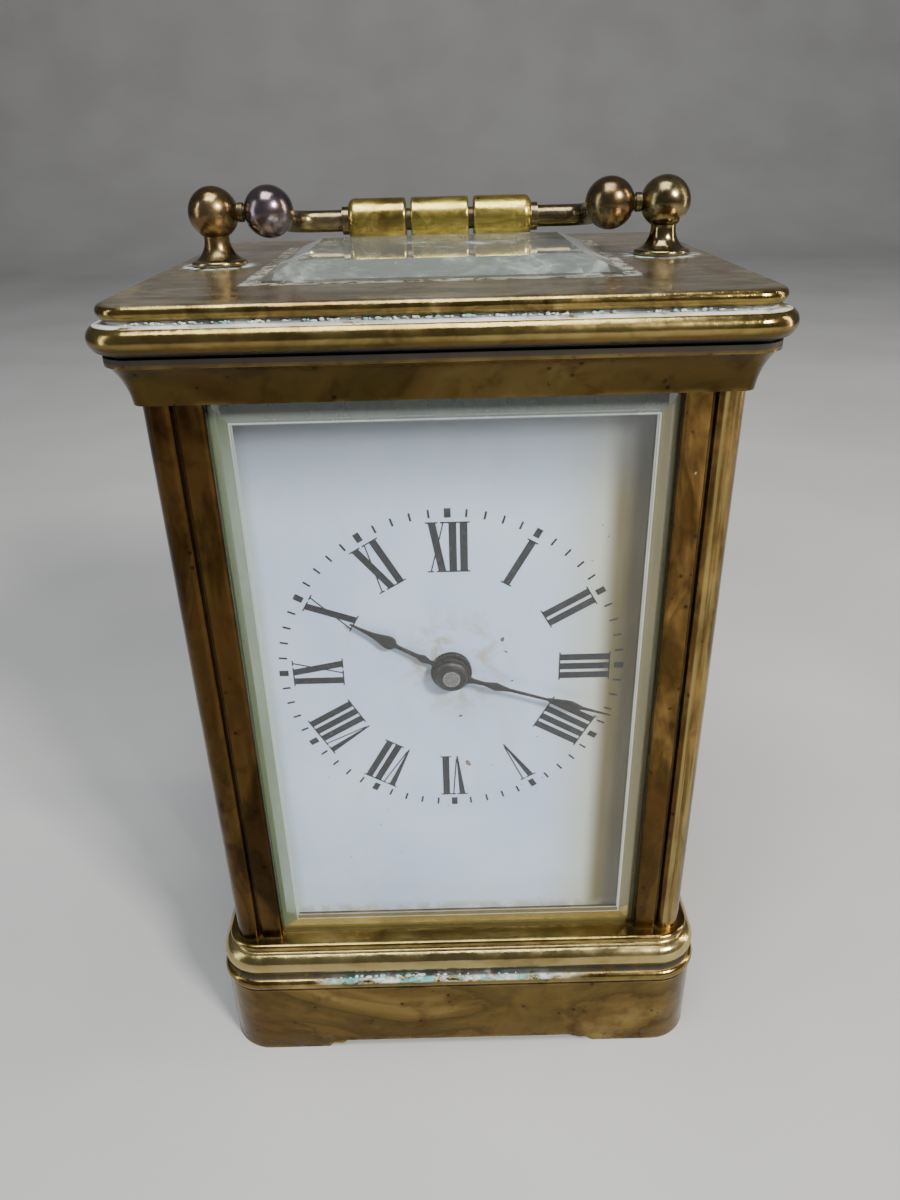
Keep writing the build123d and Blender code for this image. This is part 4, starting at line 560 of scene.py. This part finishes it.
def pale_floor():
    """Plain pale studio floor with a faint mottle."""
    g = Graph("pale_floor")
    colour = g.ramp(g.noise(90.0, 4, 0.5), (0.35, FLOOR_DARK), (0.65, FLOOR_LIGHT))
    normal = g.bump(g.noise(1.2, 3, 0.5), 0.02)
    return g.finish(g.principled(Base_Color=colour, Roughness=0.62, Normal=normal))


# ---------------------------------------------------------------- finishes for the CAD nodes
def dress(material, *names):
    for name in names:
        for slot in NODES[name].material_slots:
            slot.material = material


def dress_case():
    dress(brass("base_brass", shift=1.0, stretch=(1.9, 1.9, 1), extra=base_deposits), "base_casting")
    dress(brass("cornice_brass", shift=4.0, stretch=(2.6, 2.6, 1), extra=cornice_deposits), "cornice_frame")
    dress(brass("plate_brass", shift=7.0, patch=9.0, extra=plate_deposits), "top_plate")
    pillars = ("pillar_front_left", "pillar_front_right", "pillar_rear_left", "pillar_rear_right")
    for number, name in enumerate(pillars):
        shift = 11.0 + 5.0 * number
        dress(brass(name + "_brass", PILLAR_TONES, shift, 10.0, (1, 1, 2.4), extra=pillar_deposits), name)
    dress(brass("door_brass", shift=37.0, patch=11.0, stretch=(1, 1, 1.8)), "door_frame")
    dress(brass("floor_brass", shift=43.0, gloss=(0.3, 0.5)), "base_floor_plate")


def dress_handle():
    dress(brass("bow_brass", BOW_TONES, 51.0, 6.0, gloss=(0.12, 0.30), extra=bow_bloom), "handle_bow")
    posts = brass("post_brass", BOW_TONES, 57.0, 5.0, gloss=(0.12, 0.32))
    dress(posts, "handle_post_left", "handle_post_right", "door_knob")
    dress(brass("pin_brass", PIN_TONES, 59.0, 4.0, gloss=(0.22, 0.40)), "handle_pivot_pins")
    for number, name in enumerate(("grip_barrel_left", "grip_barrel_middle", "grip_barrel_right")):
        shift = 61.0 + 4.0 * number
        dress(brass(name + "_brass", GRIP_TONES, shift, 5.0, (3, 1, 1), 0.6, 0.9, (0.16, 0.34)), name)


def dress_dial_and_panes():
    dress(enamel(), "dial")
    dress(hand_steel(), "hour_hand", "minute_hand", "hand_collet")
    dress(glass("front_pane", (0.97, 0.99, 0.98), 0.03, 0.13, front_bevel_reflections), "front_glass")
    dress(glass("side_pane", (0.95, 0.98, 0.96), 0.16), "left_glass", "right_glass", "door_glass")
    # the top pane's even film is painted reflection of the bright surround seen at a grazing angle
    dress(glass("top_pane", (0.80, 0.93, 0.88), 0.50, 0.5, haze=0.07), "top_glass")


def dress_movement():
    gilt = satin_metal("gilt_plate", (0.62, 0.46, 0.17), (0.44, 0.31, 0.10), (0.26, 0.44), (26, 1, 1), 0.7)
    dress(gilt, "movement_front_plate", "movement_back_plate", "movement_pillars", "platform_plate",
          "balance_cock", "escape_cock")
    wheels = satin_metal("wheel_brass_finish", (0.72, 0.54, 0.22), (0.52, 0.36, 0.12), (0.20, 0.36),
                         (1, 24, 1), 0.6, 3.0)
    dress(wheels, "centre_wheel", "third_wheel", "contrate_wheel", "minute_wheel", "hour_wheel",
          "barrel_drum", "barrel_cap", "balance_wheel")
    steel = satin_metal("polished_steel", (0.52, 0.52, 0.53), (0.30, 0.29, 0.29), (0.14, 0.30),
                        (1, 20, 1), 0.6, 6.0)
    dress(steel, "centre_arbor", "third_arbor", "contrate_arbor", "escape_arbor", "escape_wheel",
          "winding_arbor", "ratchet_wheel", "click", "click_screws", "cannon_pinion", "balance_staff",
          "pallet_lever", "regulator", "case_screws", "movement_screws", "platform_screws", "door_hinge_pins")
    blued = satin_metal("blued_spring", (0.060, 0.085, 0.20), (0.030, 0.038, 0.10), (0.16, 0.30),
                        (1, 18, 1), 0.3, 9.0)
    dress(blued, "mainspring", "hairspring", "click_spring")


# ---------------------------------------------------------------- meshes for the dial
DIAL_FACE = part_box("dial")[0].y
HUB_LOW, HUB_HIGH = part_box("hand_collet")
CENTRE_X = (HUB_LOW.x + HUB_HIGH.x) / 2
CENTRE_Z = (HUB_LOW.z + HUB_HIGH.z) / 2
PAINT_LIFT, PAINT_DEPTH = 0.012, 0.03      # mm off the enamel, and thick
STROKE_STEP, SERIF_SINK, CHIP_LIFT, CHIP_DEPTH = 0.003, 0.006, 0.008, 0.015


def mesh_object(name, bm, material):
    bmesh.ops.recalc_face_normals(bm, faces=bm.faces)
    data = bpy.data.meshes.new(name)
    bm.to_mesh(data)
    bm.free()
    data.materials.append(material)
    piece = bpy.data.objects.new(name, data)
    bpy.context.scene.collection.objects.link(piece)
    return piece


def add_prism(bm, outline, to_place, lift=PAINT_LIFT, depth=PAINT_DEPTH):
    """Thin closed prism on the dial from an outline in mm; to_place turns (u, v) into (x, z) in mm."""
    rings = []
    for out in (lift, lift + depth):
        ring = []
        for u, v in outline:
            x, z = to_place(u, v)
            ring.append(bm.verts.new((CENTRE_X + x * MM, DIAL_FACE - out * MM, CENTRE_Z + z * MM)))
        rings.append(ring)
    back, front = rings
    bm.faces.new(front)
    bm.faces.new(back[::-1])
    for i in range(len(outline)):
        j = (i + 1) % len(outline)
        bm.faces.new((back[i], back[j], front[j], front[i]))


def turned_place(angle):
    """Dial place of a point v mm out from the centre and u mm to its right, at a clock angle."""
    c, s = math.cos(math.radians(angle)), math.sin(math.radians(angle))
    return lambda u, v: (u * c + v * s, v * c - u * s)


# Numeral strokes, mm
FEET, HEADS = 15.2, 22.4
THICK, HAIR, SERIF, OVERHANG, GAP = 1.0, 0.17, 0.19, 0.32, 0.46
X_HALF, V_HALF = 1.12, 0.95
X_LEAN, X_HAIR_LEAN, X_HAIR_SERIF = 0.66, 0.90, 0.1
V_TIP_SHIFT, V_TIP_HALF, V_THICK, V_HAIR_SHIFT, V_HAIR_UP = 0.22, 0.10, 0.90, 0.02, 0.5
SERIF_JOIN = 0.05
HALF = {"I": THICK / 2, "V": V_HALF, "X": X_HALF}
NUMERALS = ("XII", "I", "II", "III", "IIII", "V", "VI", "VII", "VIII", "IX", "X", "XI")


def stroke(x_low, x_high, width):
    """Straight stroke from the feet to the heads."""
    h = width / 2
    return [(x_low - h, FEET), (x_low + h, FEET), (x_high + h, HEADS), (x_high - h, HEADS)]


def serif(x_low, x_high, at_heads):
    v = HEADS - SERIF if at_heads else FEET
    return [(x_low, v), (x_high, v), (x_high, v + SERIF), (x_low, v + SERIF)]


def letter_strokes(letter, x):
    """Strokes of one letter about x, and the spans its serifs cover at the feet and the heads."""
    half = THICK / 2
    if letter == "I":
        return [stroke(x, x, THICK)], [(x - half, x + half)], [(x - half, x + half)]
    if letter == "V":
        tip, left, right = x + V_TIP_SHIFT, x - V_HALF, x + V_HALF
        thick = [(tip - V_TIP_HALF, FEET), (tip + V_TIP_HALF, FEET), (left + V_THICK, HEADS), (left, HEADS)]
        hair, up = tip + V_HAIR_SHIFT, FEET + V_HAIR_UP
        thin = [(hair, up), (hair + HAIR, up), (right, HEADS), (right - HAIR, HEADS)]
        return [thick, thin], [], [(left, left + V_THICK), (right - HAIR, right)]
    thick = stroke(x + X_LEAN, x - X_LEAN, THICK)
    thin = stroke(x - X_HAIR_LEAN, x + X_HAIR_LEAN, HAIR)
    spans = []
    for sign in (1, -1):
        main, hair = x + sign * X_LEAN, x - sign * X_HAIR_LEAN
        spans.append([(hair - X_HAIR_SERIF, hair + X_HAIR_SERIF), (main - half, main + half)])
    feet, heads = spans
    return [thick, thin], feet, heads


def joined(spans):
    """Serif spans, stretched past the strokes and merged where they meet."""
    merged = []
    for low, high in sorted((low - OVERHANG, high + OVERHANG) for low, high in spans):
        if merged and low <= merged[-1][1] + SERIF_JOIN:
            merged[-1][1] = max(merged[-1][1], high)
        else:
            merged.append([low, high])
    return merged


def build_numerals(paint):
    for hour, text in enumerate(NUMERALS):
        place = turned_place(30.0 * hour)
        total = sum(2 * HALF[c] for c in text) + GAP * (len(text) - 1)
        x, strokes, feet, heads = -total / 2, [], [], []
        for letter in text:
            x += HALF[letter]
            lines, low, high = letter_strokes(letter, x)
            strokes += lines
            feet += low
            heads += high
            x += HALF[letter] + GAP
        bm = bmesh.new()
        for number, outline in enumerate(strokes):
            add_prism(bm, outline, place, PAINT_LIFT + STROKE_STEP * number)
        for spans, at_heads in ((feet, False), (heads, True)):
            for low, high in joined(spans):
                add_prism(bm, serif(low, high, at_heads), place, PAINT_LIFT - SERIF_SINK)
        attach(mesh_object(f"numeral_{hour or 12}", bm, paint), "case")


FIVE_MARK, MINUTE_MARK = (0.44, 23.0, 24.3), (0.14, 23.1, 24.25)    # half width, inner, outer radius


def build_minute_track(paint):
    bm = bmesh.new()
    for minute in range(60):
        place = turned_place(6.0 * minute)
        half, low, high = FIVE_MARK if minute % 5 == 0 else MINUTE_MARK
        add_prism(bm, [(-half, low), (half, low), (half, high), (-half, high)], place)
    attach(mesh_object("minute_track", bm, paint), "case")


# Damage on the dial: (right of centre, above centre, half length, half width, tilt) in mm
DARK_CHIPS = ((7.2, 4.6, 0.45, 0.32, 80), (7.7, 2.6, 0.32, 0.13, -30), (8.6, -2.2, 0.26, 0.14, 20),
              (1.2, -8.0, 0.30, 0.20, 10), (-9.5, 14.5, 0.14, 0.10, 0), (-14.2, 9.0, 0.10, 0.09, 0),
              (12.4, -12.0, 0.12, 0.10, 40), (-19.0, -18.5, 0.12, 0.10, 0))
BROWN_CHIPS = ((2.15, -16.6, 0.62, 0.38, -60), (-1.0, -24.6, 0.16, 0.12, 0))


BARE_TONES = (0.02, 0.018, 0.015), (0.16, 0.14, 0.11)
RUST_TONES = (0.11, 0.055, 0.035), (0.30, 0.20, 0.15)


def ragged_outline(rng, a, b, tilt, count=14):
    """Irregular flake outline."""
    turn = math.radians(tilt)
    points = []
    for k in range(count):
        t = 2 * math.pi * k / count
        r = rng.uniform(0.72, 1.12)
        u, v = a * r * math.cos(t), b * r * math.sin(t)
        points.append((u * math.cos(turn) - v * math.sin(turn), u * math.sin(turn) + v * math.cos(turn)))
    return points


def build_chips():
    rng = random.Random(7)
    for name, chips, material in (
            ("dark_chips", DARK_CHIPS, chip_matter("bare_spot", *BARE_TONES)),
            ("brown_chips", BROWN_CHIPS, chip_matter("rust_spot", *RUST_TONES))):
        bm = bmesh.new()
        for x, z, a, b, tilt in chips:
            outline = ragged_outline(rng, a, b, tilt)
            add_prism(bm, outline, lambda u, v, x=x, z=z: (x + u, z + v), CHIP_LIFT, CHIP_DEPTH)
        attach(mesh_object(name, bm, material), "case")


# ---------------------------------------------------------------- crumbs of dried polish
LUMPS, LUMP_SWELL = 5, 0.3


def add_crumb(bm, rng, place, size):
    """One irregular lump, flattened towards its seat."""
    made = bmesh.ops.create_icosphere(bm, subdivisions=2, radius=1.0)["verts"]
    stretch = [size * rng.uniform(0.6, 1.4), size * rng.uniform(0.5, 0.8), size * rng.uniform(0.4, 0.8)]
    lumps = []
    for _ in range(LUMPS):
        axis = Vector((rng.uniform(-1, 1), rng.uniform(-1, 1), rng.uniform(-1, 1))).normalized()
        lumps.append((axis, rng.uniform(-LUMP_SWELL, LUMP_SWELL)))
    for vert in made:
        out = vert.co.normalized()
        swell = 1.0 + sum(weight * max(0.0, out.dot(axis)) for axis, weight in lumps)
        vert.co = Vector(place) + Vector(out[i] * stretch[i] * swell for i in range(3)) * MM


BEAD_CRUMBS, QUIRK_CRUMBS = 46, 150
BEAD_CRUMB_X, BEAD_CRUMB_Z = (-22.0, 14.0, -12.0), (15.75, 16.05)    # x as low, high, most likely
BEAD_CRUMB_IN, BEAD_CRUMB_R = (0.75, 1.05), (0.14, 0.42)
QUIRK_CRUMB_X, QUIRK_CRUMB_IN = 35.0, (0.35, 0.75)
QUIRK_CRUMB_DOWN, QUIRK_CRUMB_R = (0.10, 0.30), (0.10, 0.30)


def build_crumbs(chalk):
    """Crumbs along the front bead of the base and in the quirk under the top plate."""
    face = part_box("base_casting")[0].y
    rng = random.Random(19)
    bm = bmesh.new()
    for _ in range(BEAD_CRUMBS):
        x = rng.triangular(*BEAD_CRUMB_X)
        z = rng.uniform(*BEAD_CRUMB_Z)
        y = face + rng.uniform(*BEAD_CRUMB_IN) * MM
        add_crumb(bm, rng, (x * MM, y, z * MM), rng.uniform(*BEAD_CRUMB_R))
    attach(mesh_object("bead_polish_crumbs", bm, chalk), "case")

    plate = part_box("top_plate")[0]
    bm = bmesh.new()
    for _ in range(QUIRK_CRUMBS):
        x = rng.uniform(-QUIRK_CRUMB_X, QUIRK_CRUMB_X)
        y = plate.y + rng.uniform(*QUIRK_CRUMB_IN) * MM
        z = plate.z - rng.uniform(*QUIRK_CRUMB_DOWN) * MM
        add_crumb(bm, rng, (x * MM, y, z), rng.uniform(*QUIRK_CRUMB_R))
    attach(mesh_object("quirk_polish_crumbs", bm, chalk), "case")


# ---------------------------------------------------------------- stage, lamps, camera
AIM = (0.0, 0.0, 0.065)


def lamp(name, energy, size, place, colour=(1.0, 1.0, 1.0), size_y=None):
    data = bpy.data.lights.new(name, "AREA")
    data.energy = energy
    data.color = colour
    data.size = size
    if size_y:
        data.shape = "RECTANGLE"
        data.size_y = size_y
    thing = bpy.data.objects.new(name, data)
    thing.location = place
    thing.rotation_euler = (Vector(AIM) - Vector(place)).to_track_quat("-Z", "Y").to_euler()
    bpy.context.scene.collection.objects.link(thing)
    return thing


SWEEP_REACH, SWEEP_BACK, SWEEP_TOP, SWEEP_CURVE, SWEEP_STEPS = 2.4, 1.5, 1.6, 0.5, 12


def build_stage():
    """Floor that curves up into the backdrop."""
    bm = bmesh.new()
    profile = [(-SWEEP_REACH, 0.0), (SWEEP_BACK - SWEEP_CURVE, 0.0)]
    for k in range(1, SWEEP_STEPS + 1):
        t = math.pi / 2 * k / SWEEP_STEPS
        y = SWEEP_BACK - SWEEP_CURVE + SWEEP_CURVE * math.sin(t)
        profile.append((y, SWEEP_CURVE - SWEEP_CURVE * math.cos(t)))
    profile.append((SWEEP_BACK, SWEEP_TOP))
    rows = [[bm.verts.new((x, y, z)) for y, z in profile] for x in (-SWEEP_REACH, SWEEP_REACH)]
    for k in range(len(profile) - 1):
        bm.faces.new((rows[0][k], rows[1][k], rows[1][k + 1], rows[0][k + 1]))
    floor = mesh_object("floor_sweep", bm, pale_floor())
    for face in floor.data.polygons:
        face.use_smooth = True


def build_lamps():
    lamp("key_right", 15.0, 0.17, (0.50, -0.62, 0.62), colour=(1.0, 0.985, 0.96))
    lamp("top_soft", 7.5, 0.45, (-0.05, -0.20, 0.85), colour=(0.90, 0.95, 1.0))
    lamp("left_strip", 0.9, 0.08, (-0.55, -0.20, 0.25), colour=(0.90, 0.95, 1.0), size_y=0.5)
    lamp("right_strip", 1.5, 0.04, (0.55, 0.0, 0.22), colour=(1.0, 0.90, 0.72), size_y=0.5)
    world = bpy.data.worlds.new("studio")
    world.use_nodes = True
    shade = world.node_tree.nodes["Background"]
    shade.inputs["Color"].default_value = (0.80, 0.84, 0.90, 1.0)
    shade.inputs["Strength"].default_value = 0.15
    bpy.context.scene.world = world


CAMERA_PLACE = Vector((0.0001, -0.1329, 0.1348))
CAMERA_PITCH, CAMERA_YAW, CAMERA_ROLL = 27.33, -0.02, -1.49
CAMERA_LENS = 26.63


def build_camera():
    pitch, yaw, roll = (math.radians(v) for v in (CAMERA_PITCH, CAMERA_YAW, CAMERA_ROLL))
    forward = Vector((math.sin(yaw) * math.cos(pitch), math.cos(yaw) * math.cos(pitch), -math.sin(pitch)))
    level = Vector((math.cos(yaw), -math.sin(yaw), 0.0))
    above = level.cross(forward)
    right = level * math.cos(roll) + above * math.sin(roll)
    above = above * math.cos(roll) - level * math.sin(roll)
    data = bpy.data.cameras.new("camera")
    data.lens = CAMERA_LENS
    data.sensor_width = 36.0
    data.clip_start = 0.005
    camera = bpy.data.objects.new("camera", data)
    axes = Matrix((right, above, -forward)).transposed().to_4x4()
    camera.matrix_world = Matrix.Translation(CAMERA_PLACE) @ axes
    bpy.context.scene.collection.objects.link(camera)
    bpy.context.scene.camera = camera


build_camera()
build_stage()
build_lamps()
dress_case()
dress_handle()
dress_dial_and_panes()
dress_movement()
dial_black = dial_paint()
build_numerals(dial_black)
build_minute_track(dial_black)
build_chips()
build_crumbs(chalk_matter())
